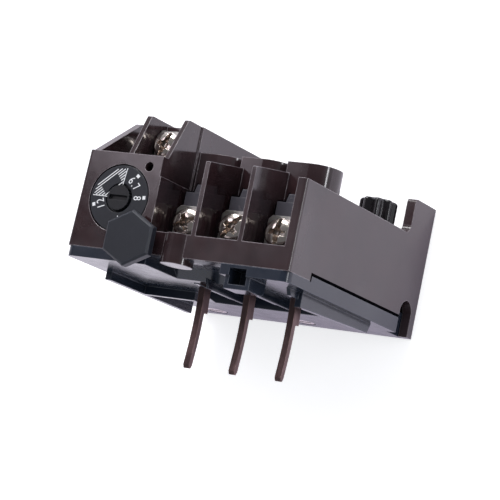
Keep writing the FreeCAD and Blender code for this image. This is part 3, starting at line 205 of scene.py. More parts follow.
class Nodes:
    """A material's node tree, with short calls for the nodes that repeat."""

    def __init__(self, name):
        self.material = bpy.data.materials.new(name)
        self.material.use_nodes = True
        self.nodes = self.material.node_tree.nodes
        self.links = self.material.node_tree.links
        self.shader = self.nodes["Principled BSDF"]
        self.coordinates = self.nodes.new("ShaderNodeTexCoord").outputs["Object"]

    def put(self, socket, value):
        """Link another node's socket, or set a plain value."""
        if isinstance(value, bpy.types.NodeSocket):
            self.links.new(value, socket)
        else:
            socket.default_value = value

    def stretch(self, scale):
        """Coordinates scaled along each axis, to draw a pattern out."""
        mapping = self.nodes.new("ShaderNodeMapping")
        mapping.inputs["Scale"].default_value = scale
        self.links.new(self.coordinates, mapping.inputs["Vector"])
        return mapping.outputs["Vector"]

    def noise(self, scale, detail=3.0, roughness=0.5, vector=None, distortion=0.0):
        node = self.nodes.new("ShaderNodeTexNoise")
        node.inputs["Scale"].default_value = scale
        node.inputs["Detail"].default_value = detail
        node.inputs["Roughness"].default_value = roughness
        node.inputs["Distortion"].default_value = distortion
        self.links.new(vector or self.coordinates, node.inputs["Vector"])
        return node.outputs["Fac"]

    def ramp(self, value, low, high, start=0.0, end=1.0):
        node = self.nodes.new("ShaderNodeMapRange")
        node.inputs["From Min"].default_value = low
        node.inputs["From Max"].default_value = high
        node.inputs["To Min"].default_value = start
        node.inputs["To Max"].default_value = end
        self.links.new(value, node.inputs["Value"])
        return node.outputs["Result"]

    def mix(self, factor, first, second):
        node = self.nodes.new("ShaderNodeMix")
        node.data_type = "RGBA"
        self.put(node.inputs["Factor"], factor)
        for socket, value in ((node.inputs["A"], first), (node.inputs["B"], second)):
            self.put(socket, (*value, 1.0) if isinstance(value, tuple) else value)
        return node.outputs["Result"]

    def math(self, operation, first, second):
        node = self.nodes.new("ShaderNodeMath")
        node.operation = operation
        self.put(node.inputs[0], first)
        self.put(node.inputs[1], second)
        return node.outputs[0]

    def bevel(self, radius):
        node = self.nodes.new("ShaderNodeBevel")
        node.samples = RAY_SAMPLES
        node.inputs["Radius"].default_value = radius
        return node.outputs["Normal"]

    def edges(self, radius, gain):
        """1 on the sharp edges and 0 on the faces."""
        plain = self.nodes.new("ShaderNodeNewGeometry").outputs["Normal"]
        node = self.nodes.new("ShaderNodeVectorMath")
        node.operation = "DOT_PRODUCT"
        self.links.new(self.bevel(radius), node.inputs[0])
        self.links.new(plain, node.inputs[1])
        off = self.math("SUBTRACT", 1.0, node.outputs["Value"])
        gained = self.math("MULTIPLY", off, gain)
        return self.ramp(gained, 0.0, 1.0)

    def crease(self, distance):
        """0 deep in cracks and corners, 1 on open faces."""
        node = self.nodes.new("ShaderNodeAmbientOcclusion")
        node.samples = RAY_SAMPLES
        node.inputs["Distance"].default_value = distance
        return node.outputs["AO"]

    def bump(self, height, strength, distance, normal=None):
        node = self.nodes.new("ShaderNodeBump")
        node.inputs["Strength"].default_value = strength
        node.inputs["Distance"].default_value = distance
        self.links.new(height, node.inputs["Height"])
        if normal is not None:
            self.links.new(normal, node.inputs["Normal"])
        return node.outputs["Normal"]

    def finish(self, colour, roughness, normal, metallic=0.0, ior=1.5):
        self.put(self.shader.inputs["Base Color"], colour)
        self.put(self.shader.inputs["Roughness"], roughness)
        self.links.new(normal, self.shader.inputs["Normal"])
        self.shader.inputs["Metallic"].default_value = metallic
        self.shader.inputs["IOR"].default_value = ior
        return self.material


def moulded(name, colour, dark, edge, roughness, ior=1.55, edge_radius=0.00018,
            grain=0.00001, wear_and_highlight=0.5, haze=0.0):
    """Hard moulded plastic: clouded colour, fine grain, rounded edges lightened partly as wear
    and partly as painted highlight.
    """
    tree = Nodes(name)
    clouds = tree.ramp(tree.noise(120.0, 4.0, 0.6, distortion=0.4), 0.35, 0.7)
    veil = tree.ramp(tree.noise(55.0, 3.0, 0.55), 0.42, 0.75, 0.0, haze)
    specks = tree.ramp(tree.noise(2600.0, 2.0, 0.6), 0.7, 0.82, 0.0, 0.12)
    patches = tree.ramp(tree.noise(700.0, 3.0, 0.7), 0.35, 0.65, 0.3 * wear_and_highlight, wear_and_highlight)
    # Lighter edges: partly rubbed wear, partly a painted highlight along the rims.
    lighter_edges = tree.math("MULTIPLY", tree.edges(edge_radius * 1.7, 7.0), patches)
    # Painted shade: near black in creases and gaps, where shade falls.
    painted_crease_shade = tree.ramp(tree.crease(0.0005), 0.1, 0.6, 0.85, 0.0)
    body = tree.mix(clouds, colour, dark)
    for share in (veil, specks, lighter_edges):
        body = tree.mix(share, body, edge)
    body = tree.mix(painted_crease_shade, body, CREASE_SHADE)
    rough = tree.ramp(tree.noise(300.0, 5.0, 0.65), 0.3, 0.7, *roughness)
    rough = tree.math("ADD", rough, tree.math("MULTIPLY", lighter_edges, 0.12))
    wave = tree.bump(tree.noise(160.0, 2.0, 0.4), 0.35, 0.00006, tree.bevel(edge_radius))
    normal = tree.bump(tree.noise(3800.0, 3.0, 0.6), 0.5, grain, wave)
    return tree.finish(body, rough, normal, ior=ior)


def metal(name, colour, tarnish, roughness, brushed=(1.0, 1.0, 1.0), stain=0.5):
    """Plated or rolled metal: stains, fine scratches along one way, softened edges, painted
    shade in recesses.
    """
    tree = Nodes(name)
    lines = tree.noise(1500.0, 4.0, 0.65, vector=tree.stretch(brushed))
    clouds = tree.noise(260.0, 5.0, 0.65, distortion=0.6)
    # Painted shade: darker in creases and recesses, where shade falls; its colour is the
    # tarnish dimmed.
    recess_shade = tuple(0.3 * value for value in tarnish)
    body = tree.mix(tree.ramp(clouds, 0.4, 0.72, 0.0, stain), colour, tarnish)
    body = tree.mix(tree.ramp(lines, 0.55, 0.8, 0.0, 0.35), body, tarnish)
    body = tree.mix(tree.ramp(tree.crease(0.0011), 0.3, 0.8, 0.7, 0.0), body, recess_shade)
    rough = tree.ramp(lines, 0.3, 0.7, *roughness)
    normal = tree.bump(lines, 0.4, 0.000006, tree.bevel(0.0001))
    return tree.finish(body, rough, normal, metallic=1.0, ior=2.0)


def oxidised_copper(name):
    """Brown copper: dark oxide in streaks, bare bright copper on rubbed edges."""
    tree = Nodes(name)
    brown, dark = (0.17, 0.105, 0.1), (0.075, 0.045, 0.045)
    spot, bare = (0.05, 0.03, 0.028), (0.4, 0.26, 0.22)
    streaks = tree.noise(420.0, 5.0, 0.7, vector=tree.stretch((1.0, 0.22, 1.0)),
                         distortion=0.8)
    specks = tree.noise(1900.0, 3.0, 0.7)
    patches = tree.ramp(tree.noise(520.0, 3.0, 0.7), 0.4, 0.62, 0.2, 0.9)
    lighter_edges = tree.math("MULTIPLY", tree.edges(0.00016, 6.0), patches)
    body = tree.mix(tree.ramp(streaks, 0.36, 0.68), brown, dark)
    body = tree.mix(tree.ramp(specks, 0.6, 0.78, 0.0, 0.6), body, spot)
    body = tree.mix(lighter_edges, body, bare)
    rough = tree.ramp(streaks, 0.3, 0.7, 0.32, 0.52)
    normal = tree.bump(specks, 0.5, 0.00001, tree.bevel(0.00014))
    return tree.finish(body, rough, normal, metallic=0.85, ior=2.0)


def paint(name, colour, thin):
    """Printed ink: nearly matt, thin in places."""
    tree = Nodes(name)
    worn = tree.ramp(tree.noise(2400.0, 4.0, 0.7), 0.62, 0.8, 0.0, 0.5)
    body = tree.mix(worn, colour, thin)
    rough = tree.ramp(tree.noise(900.0, 3.0, 0.6), 0.3, 0.7, 0.4, 0.6)
    normal = tree.bump(tree.noise(3000.0, 2.0, 0.6), 0.3, 0.000006)
    return tree.finish(body, rough, normal)


def make_materials():
    return {
        "housing": moulded("housing_brown", (0.031, 0.0145, 0.0165), (0.019, 0.01, 0.012),
                           (0.6, 0.53, 0.57), (0.09, 0.16), ior=1.6, grain=0.000002,
                           edge_radius=0.00015, wear_and_highlight=0.65, haze=0.06),
        "base": moulded("base_slate", (0.02, 0.026, 0.04), (0.014, 0.018, 0.03),
                        (0.2, 0.22, 0.27), (0.14, 0.24), grain=0.000004, wear_and_highlight=0.4),
        "block": moulded("terminal_block_grey", (0.1, 0.095, 0.115), (0.07, 0.066, 0.08),
                         (0.2, 0.2, 0.22), (0.2, 0.3), grain=0.000005),
        "dial": moulded("dial_black", (0.013, 0.015, 0.022), (0.01, 0.0115, 0.017),
                        (0.1, 0.11, 0.13), (0.36, 0.48), grain=0.000012, wear_and_highlight=0.3),
        "shadow": moulded("seam_shadow", (0.002, 0.002, 0.003), (0.001, 0.001, 0.002),
                          (0.002, 0.002, 0.003), (0.9, 1.0), grain=0.0, wear_and_highlight=0.0,
                          ior=1.05),
        "hub": moulded("hub_black", (0.004, 0.005, 0.008), (0.003, 0.0035, 0.005),
                       (0.05, 0.055, 0.065), (0.3, 0.42), wear_and_highlight=0.3, edge_radius=0.00008),
        "button": moulded("button_slate", (0.012, 0.0145, 0.023), (0.01, 0.012, 0.019),
                          (0.12, 0.14, 0.18), (0.38, 0.5), grain=0.00002),
        "knob": moulded("knob_black", (0.012, 0.01, 0.012), (0.008, 0.008, 0.009),
                        (0.1, 0.09, 0.095), (0.1, 0.2), grain=0.000006, wear_and_highlight=0.4),
        "nickel": metal("nickel_screw", (0.88, 0.8, 0.73), (0.5, 0.38, 0.3),
                        (0.12, 0.24), stain=0.2),
        "plate": metal("nickel_plate", (0.66, 0.64, 0.62), (0.4, 0.36, 0.32),
                       (0.28, 0.42), brushed=(0.15, 1.0, 1.0)),
        "copper": oxidised_copper("copper_brown"),
        "bimetal": metal("bimetal", (0.56, 0.54, 0.52), (0.4, 0.33, 0.28),
                         (0.3, 0.45), brushed=(1.0, 0.12, 1.0)),
        "mica": moulded("mica", (0.66, 0.6, 0.48), (0.5, 0.43, 0.32), (0.8, 0.76, 0.66),
                        (0.3, 0.5), grain=0.00002),
        "heater": metal("heater_wire", (0.36, 0.33, 0.31), (0.16, 0.12, 0.14),
                        (0.35, 0.5), brushed=(0.2, 1.0, 0.2), stain=0.8),
        "spring_copper": metal("contact_copper", (0.78, 0.48, 0.3), (0.45, 0.26, 0.18),
                               (0.25, 0.4), brushed=(1.0, 0.15, 1.0)),
        "silver": metal("silver", (0.88, 0.87, 0.84), (0.6, 0.56, 0.5), (0.2, 0.34)),
        "cream": moulded("mechanism_cream", (0.68, 0.63, 0.52), (0.6, 0.55, 0.44),
                         (0.8, 0.77, 0.7), (0.38, 0.52), grain=0.00002, wear_and_highlight=0.3),
        "steel": metal("steel", (0.56, 0.57, 0.59), (0.36, 0.33, 0.3), (0.24, 0.38),
                       brushed=(1.0, 1.0, 0.15)),
        "spring": metal("spring_steel", (0.6, 0.6, 0.62), (0.34, 0.32, 0.32), (0.2, 0.34)),
        "print": paint("print_white", (0.84, 0.85, 0.87), (0.3, 0.31, 0.34)),
    }


def numbered(name, count):
    return [f"{name}_{number + 1}" for number in range(count)]


POLE_COUNT = 3
AUX_COUNT = 2
DRESS = {
    "housing": ["main_housing"],
    "base": ["base_cover"],
    "dial": ["current_dial"],
    "hub": ["dial_hub"],
    "cream": ["dial_cam", "adjust_lever", "trip_slider", "trip_lever", "mode_cam",
              "contact_arm"],
    "button": ["reset_button"],
    "knob": ["reset_mode_knob"],
    "plate": ["terminal_plates"] + numbered("aux_plate", AUX_COUNT)
             + numbered("clamp_washer", POLE_COUNT) + numbered("aux_washer", AUX_COUNT),
    "nickel": ["cover_screws"] + numbered("terminal_screw", POLE_COUNT)
              + numbered("aux_screw", AUX_COUNT),
    "block": ["terminal_blocks"],
    "copper": numbered("contactor_prong", POLE_COUNT),
    "bimetal": ["bimetal_strips", "compensation_strip"],
    "mica": ["mica_sleeves"],
    "heater": ["heater_windings"],
    "spring_copper": ["nc_contact", "no_contact"],
    "silver": ["moving_pads", "fixed_pads"],
    "steel": ["mechanism_frame", "pivot_pins"],
    "spring": ["reset_spring"],
}


def dress_all(materials):
    for name, nodes in DRESS.items():
        for node in nodes:
            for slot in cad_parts[node].material_slots:
                slot.material = materials[name]


# ---- meshes --------------------------------------------------------------
def new_object(name, mesh, material):
    made = bpy.data.objects.new(name, mesh)
    bpy.context.scene.collection.objects.link(made)
    mesh.materials.clear()
    mesh.materials.append(material)
    return made


def close_mesh(name, tool):
    """Turn the tool's faces outwards and keep them as a mesh."""
    bmesh.ops.recalc_face_normals(tool, faces=tool.faces)
    mesh = bpy.data.meshes.new(name)
    tool.to_mesh(mesh)
    tool.free()
    return mesh


def angles(count):
    return [2 * math.pi * i / count for i in range(count)]


def ring_mesh(name, rings):
    """Mesh over a row of rings of points; a ring of one point is a tip."""
    tool = bmesh.new()
    rows = [[tool.verts.new(point) for point in ring] for ring in rings]
    for low, high in zip(rows, rows[1:]):
        count = max(len(low), len(high))
        for i in range(count):
            j = (i + 1) % count
            if len(low) == 1:
                tool.faces.new((low[0], high[i], high[j]))
            elif len(high) == 1:
                tool.faces.new((low[j], low[i], high[0]))
            else:
                tool.faces.new((low[i], low[j], high[j], high[i]))
    for end in (rows[0][::-1], rows[-1]):
        if len(end) > 1:
            tool.faces.new(end)
    return close_mesh(name, tool)


def extrude(tool, outline, start, end, place):
    """Add the solid between an outline's copies at the start and at the end."""
    low = [tool.verts.new(place(*point, start)) for point in outline]
    high = [tool.verts.new(place(*point, end)) for point in outline]
    tool.faces.new(low[::-1])
    tool.faces.new(high)
    for i in range(len(outline)):
        j = (i + 1) % len(outline)
        tool.faces.new((low[i], low[j], high[j], high[i]))


def slab(name, size, middle, taper=1.0):
    """Six-sided cutter, its lower end narrowed by the taper."""
    mesh = bpy.data.meshes.new(name)
    half_x, half_y, half_z = [value / 2 for value in size]
    points = []
    for z, share in ((-1, taper), (1, 1.0)):
        points += [Vector(middle) + Vector((x * half_x * share, y * half_y * share, z * half_z))
                   for y in (-1, 1) for x in (-1, 1)]
    mesh.from_pydata(points, [], [(0, 2, 3, 1), (4, 5, 7, 6), (0, 1, 5, 4), (2, 6, 7, 3),
                                  (0, 4, 6, 2), (1, 3, 7, 5)])
    return mesh


def carve(target, cutters):
    """Cut the cutter meshes out of the target's mesh, and keep the result."""
    material = target.data.materials[0]
    for mesh in cutters:
        tool = bpy.data.objects.new(mesh.name, mesh)
        bpy.context.scene.collection.objects.link(tool)
        tool.matrix_world = target.matrix_world
        cut = target.modifiers.new("cut", "BOOLEAN")
        cut.operation = "DIFFERENCE"
        cut.solver = "EXACT"
        cut.object = tool
        bpy.context.view_layer.update()
        state = target.evaluated_get(bpy.context.evaluated_depsgraph_get())
        carved = bpy.data.meshes.new_from_object(state)
        target.modifiers.clear()
        target.data = carved
        bpy.data.objects.remove(tool)
    target.data.materials.clear()
    target.data.materials.append(material)


def smooth_by_angle(made, degrees):
    mesh = made.data
    mesh.polygons.foreach_set("use_smooth", [True] * len(mesh.polygons))
    mesh.set_sharp_from_angle(angle=math.radians(degrees))


# ---- screws --------------------------------------------------------------
TURN_STEPS = 64
DOME_STEPS = 8
DOME_SHARE = 0.93
DOME_RISE = 0.32
RIM_SHARE = 0.975
RIM_RISE = 0.2
RIM_FOOT = 0.1
SHOULDER_SHARE = 0.34
SHAFT_CHAMFER = 0.25
SHAFT_END = 0.78
SCREW_SMOOTHING = 28

# Cutters of the head's recess: length and width in radii of the head, depth in heights
# of the head, and what is left of their width at the bottom.
RECESS_TOP = 0.92
RECESS = (("slot", 2.3, 0.3, 0.9, 1.0), ("cross", 0.4, 1.35, 1.3, 0.7),
          ("other", 1.35, 0.42, 1.4, 0.7), ("pit", 0.72, 0.72, 1.6, 0.4))

# Node, body, head height, shaft radius and the angle that each screw was left at.
SCREWS = (("terminal_screw", "screw", 2.05 * MM, 1.72 * MM, (24.0, 52.0, 86.0)),
          ("aux_screw", "aux_screw", 1.9 * MM, 1.46 * MM, (15.0, 70.0)))


def turned(name, profile):
    """Mesh of a profile of (radius, height) points turned about the z axis."""
    rings = []
    for radius, height in profile:
        ring = [(radius * math.cos(angle), radius * math.sin(angle), height)
                for angle in angles(TURN_STEPS)]
        rings.append(ring if radius else ring[:1])
    return ring_mesh(name, rings)


def screw_profile(radius, head, shaft, length):
    """Pan head: domed top, rounded shoulder, plain shaft with a chamfered end."""
    dome = []
    for step in range(DOME_STEPS + 1):
        angle = step * math.pi / 2 / DOME_STEPS
        dome.append((radius * DOME_SHARE * math.sin(angle),
                     head - DOME_RISE * head * (1 - math.cos(angle))))
    shoulder = SHOULDER_SHARE * head
    rim = [(radius * RIM_SHARE, shoulder + RIM_RISE * head), (radius, shoulder),
           (radius, RIM_FOOT * head), (radius * RIM_SHARE, 0.0)]
    tail = [(shaft, 0.0), (shaft, head - length + SHAFT_CHAMFER * shaft),
            (SHAFT_END * shaft, head - length), (0.0, head - length)]
    return dome + rim + tail


def recess_cutters(radius, head):
    """Cross recess with a deeper middle, and a slot along one of its arms."""
    return [slab(name, (length * radius, width * radius, depth * head),
                 (0, 0, RECESS_TOP * head), taper)
            for name, length, width, depth, taper in RECESS]


def add_screw(node, body, head, shaft, turn, material):
    """Pan head screw with a cross recess and a slot, in place of the plain one."""
    low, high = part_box(node)
    radius = (high[0] - low[0]) / 2
    mesh = turned(f"{node}_pan_head", screw_profile(radius, head, shaft, high[2] - low[2]))
    made = new_object(f"{node}_pan_head", mesh, material)
    made.location = ((low[0] + high[0]) / 2, (low[1] + high[1]) / 2, high[2] - head)
    made.rotation_euler = (0.0, 0.0, math.radians(turn))
    bpy.context.view_layer.update()
    carve(made, recess_cutters(radius, head))
    smooth_by_angle(made, SCREW_SMOOTHING)
    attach(made, body)
    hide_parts(node)


def add_screws(material):
    for node, body, head, shaft, turns in SCREWS:
        for number, turn in enumerate(turns):
            add_screw(f"{node}_{number + 1}", f"{body}_{number + 1}", head, shaft, turn,
                      material)


# ---- housing and base details --------------------------------------------
# Millimetres of the body: x from its left wall, y up, depth back from its front. The
# frame's origin is at FRAME_X, FRAME_Y and FRAME_DEPTH.
BODY_WIDTH = 45.0
FRAME_X = 22.2
FRAME_Y = 4.325
FRAME_DEPTH = 49.6
DETAIL_SMOOTHING = 30

# Outlines of (depth, y), each with where it starts and ends in x.
LIP_OUTLINE = [(0.35, 0.05), (0.35, 1.0), (7.8, 1.0), (7.8, -0.3), (2.4, -0.3)]
LIP_SPAN = (16.4, 31.5)
LIP_ROUNDING = 0.12
LONG_RIB_OUTLINE = [(8.5, -1.6), (24.2, -1.6), (24.2, -3.3), (9.5, -3.3)]
LONG_RIB_SPANS = ((23.8, 24.3), (33.3, 33.8))
LONG_RIB_ROUNDING = 0.1
# Black strip of painted shadow in the gap between the housing and the base.
SEAM_OUTLINE = [(7.8, 1.0), (7.8, 1.45), (42.9, 1.45), (42.9, 1.05), (8.2, 1.05),
                (8.2, -0.1), (7.8, -0.1)]
SEAM_SUNK = 0.2
SEAM_PROUD = 0.012
# Outline of (x, y), with where it starts and ends in depth.
CROSS_RIB_OUTLINE = [(15.5, -1.6), (42.6, -1.6), (42.6, -2.8), (41.0, -3.5), (17.5, -3.5),
                     (15.5, -2.6)]
CROSS_RIB_SPAN = (24.0, 25.0)
CROSS_RIB_ROUNDING = 0.15

BLOCK_SPACING = 2.2
STEP_FROM_LEFT = 1.7
STEP_LEAN = 0.35
STEP_RISE = 1.5
BLOCK_GAP = 0.25
BLOCK_GAP_DROP = 2.4
BLOCK_GAP_DEPTHS = (0.1, 0.5)
SHOULDER_END_GAP = 0.02


def by_front(x, y, depth):
    return Vector(((x - FRAME_X) * MM, (y - FRAME_Y) * MM, (FRAME_DEPTH - depth) * MM))


def by_side(depth, y, x):
    return by_front(x, y, depth)


def prism(name, outline, span, place, rounding=0.0):
    """Solid over an outline from one end of its span to the other."""
    tool = bmesh.new()
    extrude(tool, outline, *span, place)
    if rounding:
        bmesh.ops.recalc_face_normals(tool, faces=tool.faces)
        bmesh.ops.bevel(tool, geom=tool.edges[:], offset=rounding * MM, segments=2,
                        affect="EDGES", profile=0.6)
    return close_mesh(name, tool)


def add_detail(name, mesh, material):
    made = new_object(name, mesh, material)
    smooth_by_angle(made, DETAIL_SMOOTHING)
    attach(made, "housing")


def add_base_details(base, shadow):
    """Lip that closes the base under the sill, ribs round the prongs, and a black strip of
    painted shadow at the parting line.
    """
    add_detail("base_front_lip", prism("lip", LIP_OUTLINE, LIP_SPAN, by_side, LIP_ROUNDING),
               base)
    add_detail("base_cross_rib", prism("rib", CROSS_RIB_OUTLINE, CROSS_RIB_SPAN, by_front,
                                       CROSS_RIB_ROUNDING), base)
    for number, span in enumerate(LONG_RIB_SPANS):
        add_detail(f"base_long_rib_{number + 1}",
                   prism("rib", LONG_RIB_OUTLINE, span, by_side, LONG_RIB_ROUNDING), base)
    # Painted shadow: a matt black strip in the parting line's gap.
    span = (BODY_WIDTH - SEAM_SUNK, BODY_WIDTH + SEAM_PROUD)
    add_detail("side_parting_line_shadow", prism("seam", SEAM_OUTLINE, span, by_side), shadow)


def shoulder_outline(step, right, top):
    """Raised part of a block, from its leaning step to its right side."""
    return [(step, top), (step + STEP_LEAN, top + STEP_RISE), (right, top + STEP_RISE),
            (right, top)]


def gap_shadow_outline(left, step, top):
    """Narrow strip of painted shadow up a block's left side, along its top and up its step."""
    outside = [(left - BLOCK_GAP, top - BLOCK_GAP_DROP), (left - BLOCK_GAP, top - 0.2),
               (left + 0.1, top + 0.26), (step - BLOCK_GAP, top + 0.26),
               (step + 0.12, top + 1.8)]
    inside = [(step + 0.45, top + 1.7), (step, top - 0.02), (left + 0.2, top - 0.02),
              (left, top - 0.3), (left, top - BLOCK_GAP_DROP)]
    return outside + inside


def add_block_shoulders(block, shadow):
    """Raised right shoulder of each terminal block, and a black strip of painted shadow in the
    stepped gap beside it.
    """
    low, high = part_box("terminal_blocks")
    width = ((high[0] - low[0]) / MM - (POLE_COUNT - 1) * BLOCK_SPACING) / POLE_COUNT
    top = high[1] / MM + FRAME_Y
    front = FRAME_DEPTH - high[2] / MM
    back = FRAME_DEPTH - low[2] / MM - SHOULDER_END_GAP
    depths = [front + depth for depth in BLOCK_GAP_DEPTHS]
    for number in range(POLE_COUNT):
        left = low[0] / MM + FRAME_X + number * (width + BLOCK_SPACING)
        step = left + STEP_FROM_LEFT
        shoulder = shoulder_outline(step, left + width, top)
        gap = gap_shadow_outline(left, step, top)
        add_detail(f"block_shoulder_{number + 1}",
                   prism("shoulder", shoulder, (front, back), by_front), block)
        # Painted shadow: a matt black strip in place of the gap's shade.
        add_detail(f"block_gap_shadow_{number + 1}", prism("gap", gap, depths, by_front), shadow)


# ---- reset spring --------------------------------------------------------
SPRING_TURNS = 5
SPRING_STEPS = 24
WIRE_SIDES = 10
WIRE_RADIUS = 0.15 * MM
SPRING_SMOOTHING = 50


def add_reset_spring(material):
    """Round-wire coil in place of the plain reset spring."""
    node = "reset_spring"
    low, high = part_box(node)
    length = high[2] - low[2]
    coil = (high[0] - low[0]) / 2 - WIRE_RADIUS
    centre = ((low[0] + high[0]) / 2, (low[1] + high[1]) / 2)
    count = SPRING_TURNS * SPRING_STEPS
    rings = []
    for i in range(count + 1):
        turn = 2 * math.pi * i / SPRING_STEPS
        height = low[2] + WIRE_RADIUS + (length - 2 * WIRE_RADIUS) * i / count
        ring = []
        for angle in angles(WIRE_SIDES):
            reach = coil + WIRE_RADIUS * math.cos(angle)
            ring.append((centre[0] + reach * math.cos(turn),
                         centre[1] + reach * math.sin(turn),
                         height + WIRE_RADIUS * math.sin(angle)))
        rings.append(ring)
    made = new_object("reset_spring_coil", ring_mesh("reset_spring_coil", rings), material)
    smooth_by_angle(made, SPRING_SMOOTHING)
    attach(made, "housing")
    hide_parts(node)
    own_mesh(made)


# ---- knob ----------------------------------------------------------------
KNOB_HEIGHT = 5.9 * MM
KNOB_SHAFT = 1.5 * MM
KNOB_SHAFT_GAP = 0.2 * MM
KNOB_SIDE_GAP = 0.01 * MM
KNOB_CHAMFER = 0.2 * MM
KNOB_ROUNDING = 0.6 * MM
KNOB_ROUNDING_STEPS = 8
KNOB_LOBES = 8
KNOB_FLUTE = 0.4 * MM
KNOB_FLUTE_FADE = 0.05
KNOB_STEPS = 128
KNOB_GROOVE = (4.5 * MM, 2.0 * MM, 1.0 * MM)
KNOB_SMOOTHING = 35


def knob_levels(reach, depth):
    """Radius, height below the top, and share of the flutes, from the shaft's end up."""
    levels = [(KNOB_SHAFT, -depth + KNOB_SHAFT_GAP, 0.0), (KNOB_SHAFT, -KNOB_HEIGHT, 0.0),
              (reach - KNOB_CHAMFER, -KNOB_HEIGHT, 1.0),
              (reach, -KNOB_HEIGHT + KNOB_CHAMFER, 1.0)]
    for step in range(KNOB_ROUNDING_STEPS + 1):
        angle = step * math.pi / 2 / KNOB_ROUNDING_STEPS
        levels.append((reach - KNOB_ROUNDING * (1 - math.cos(angle)),
                       -KNOB_ROUNDING * (1 - math.sin(angle)),
                       1.0 - KNOB_FLUTE_FADE * step))
    return levels


def add_knob(material):
    """Fluted knob with a rounded top, a pointer groove and its shaft."""
    node = "reset_mode_knob"
    low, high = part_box(node)
    rings = []
    for radius, height, share in knob_levels((high[0] - low[0]) / 2 - KNOB_SIDE_GAP,
                                             high[1] - low[1]):
        ring = []
        for angle in angles(KNOB_STEPS):
            dip = KNOB_FLUTE * share * (1 + math.cos(KNOB_LOBES * angle))
            ring.append(((radius - dip) * math.sin(angle), height,
                         (radius - dip) * math.cos(angle)))
        rings.append(ring)
    made = new_object("mode_knob_fluted", ring_mesh("mode_knob_fluted", rings), material)
    made.location = ((low[0] + high[0]) / 2, high[1], (low[2] + high[2]) / 2)
    bpy.context.view_layer.update()
    carve(made, [slab("groove", KNOB_GROOVE, (0, 0, 0))])
    smooth_by_angle(made, KNOB_SMOOTHING)
    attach(made, "mode_knob")
    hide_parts(node)


# ---- dial print ----------------------------------------------------------
# Lengths are shares of the dial's radius, and angles are in degrees from +x.
PRINT_HEIGHT = 0.03 * MM
PRINT_INNER = 0.83
PRINT_OUTER = 0.93
TICK_WIDTH = 0.11
# Text, angle of the tick and angle of the number.
DIAL_TICKS = (("6.7", 54.0, 48.0), ("8", 5.0, 4.0), ("12", 198.0, 201.0))
NUMBER_AT = 0.63
NUMBER_SIZE = 0.37
NUMBER_SQUEEZE = 0.78
NUMBER_SPACING = 1.25
DOT_AT = 0.57
DOT_ANGLE = 279.0
DOT_RADIUS = 0.02
DOT_CORNERS = 8
HATCH_MIDDLE = 131.5
HATCH_HALF_ANGLE = 47.5
HATCH_INNER = 0.42
HATCH_LIMIT = 0.9
HATCH_START = 0.355
HATCH_STEP = 0.0742
HATCH_LINES = 7
HATCH_BROKEN = (1, 2, 3, 4)
HATCH_BARE = 0.32
STRIPE = 0.027


def flat_mesh(name, outlines):
    """Thin plates over closed outlines of (x, y) points."""
    tool = bmesh.new()
    for outline in outlines:
        extrude(tool, outline, 0.0, PRINT_HEIGHT, lambda x, y, z: (x, y, z))
    return close_mesh(name, tool)


def bar(start, end, width):
    """Four corners of a straight bar between two points."""
    along = (end - start).normalized()
    side = Vector((-along.y, along.x)) * width / 2
    return [start - side, end - side, end + side, start + side]


def polar(radius, degrees):
    return Vector((radius * math.cos(math.radians(degrees)),
                   radius * math.sin(math.radians(degrees))))


def number_mesh(text, size):
    curve = bpy.data.curves.new("number", "FONT")
    curve.body = text
    curve.size = size
    curve.align_x = "CENTER"
    curve.align_y = "CENTER"
    curve.extrude = PRINT_HEIGHT / 2
    curve.resolution_u = 4
    curve.space_character = NUMBER_SPACING
    holder = bpy.data.objects.new("number", curve)
    bpy.context.scene.collection.objects.link(holder)
    bpy.context.view_layer.update()
    mesh = bpy.data.meshes.new_from_object(
        holder.evaluated_get(bpy.context.evaluated_depsgraph_get()))
    bpy.data.objects.remove(holder)
    mesh.transform(Matrix.Diagonal((NUMBER_SQUEEZE, 1.0, 1.0, 1.0)))
    return mesh


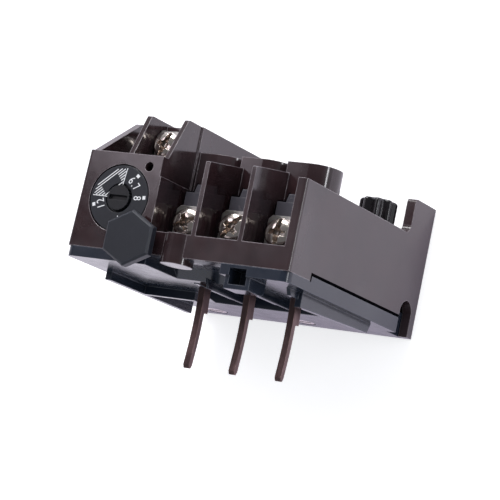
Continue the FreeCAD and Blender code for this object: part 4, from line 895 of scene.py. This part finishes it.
def hatch_outlines(radius):
    """Two radial lines and the stripes between them, bare in the middle."""
    width = STRIPE * radius
    lines = []
    for side in (-1, 1):
        angle = HATCH_MIDDLE + side * HATCH_HALF_ANGLE
        lines.append(bar(polar(HATCH_INNER * radius, angle),
                         polar(PRINT_OUTER * radius, angle), width))
    across = polar(1.0, HATCH_MIDDLE - 90)
    limit = HATCH_LIMIT * radius
    for step in range(HATCH_LINES):
        away = (HATCH_START + HATCH_STEP * step) * radius
        middle = polar(1.0, HATCH_MIDDLE) * away
        half = min(away * math.tan(math.radians(HATCH_HALF_ANGLE)),
                   math.sqrt(limit ** 2 - away ** 2))
        if step not in HATCH_BROKEN:
            lines.append(bar(middle - across * half, middle + across * half, width))
            continue
        for side in (-1, 1):
            lines.append(bar(middle + across * side * HATCH_BARE * radius,
                             middle + across * side * half, width))
    return lines


def mark_outlines(radius):
    """Square mark of each number, and the small dot opposite the hatching."""
    marks = [bar(polar(PRINT_INNER * radius, angle), polar(PRINT_OUTER * radius, angle),
                 TICK_WIDTH * radius) for _, angle, _ in DIAL_TICKS]
    dot = polar(DOT_AT * radius, DOT_ANGLE)
    marks.append([dot + polar(DOT_RADIUS * radius, 360 / DOT_CORNERS * i)
                  for i in range(DOT_CORNERS)])
    return marks


def add_dial_print(material):
    low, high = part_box("current_dial")
    middle = Vector(((low[0] + high[0]) / 2, (low[1] + high[1]) / 2, high[2]))
    radius = (high[0] - low[0]) / 2
    pieces = [("dial_marks", flat_mesh("dial_marks", mark_outlines(radius)), 0.0, middle),
              ("dial_hatch", flat_mesh("dial_hatch", hatch_outlines(radius)), 0.0, middle)]
    for number, (text, _, angle) in enumerate(DIAL_TICKS):
        place = middle + Vector((*polar(NUMBER_AT * radius, angle), 0.0))
        pieces.append((f"dial_number_{number + 1}", number_mesh(text, NUMBER_SIZE * radius),
                       angle - 90.0, place))
    for name, mesh, turn, place in pieces:
        made = new_object(name, mesh, material)
        made.location = place
        made.rotation_euler = (0.0, 0.0, math.radians(turn))
        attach(made, "dial")


# ---- scene ---------------------------------------------------------------
add_camera()
add_world()
add_floor()
for lamp in LAMPS:
    add_lamp(*lamp)
bpy.context.scene.view_settings.view_transform = "Standard"

materials = make_materials()
dress_all(materials)
add_screws(materials["nickel"])
add_base_details(materials["base"], materials["shadow"])
add_block_shoulders(materials["block"], materials["shadow"])
add_reset_spring(materials["spring"])
add_knob(materials["knob"])
add_dial_print(materials["print"])
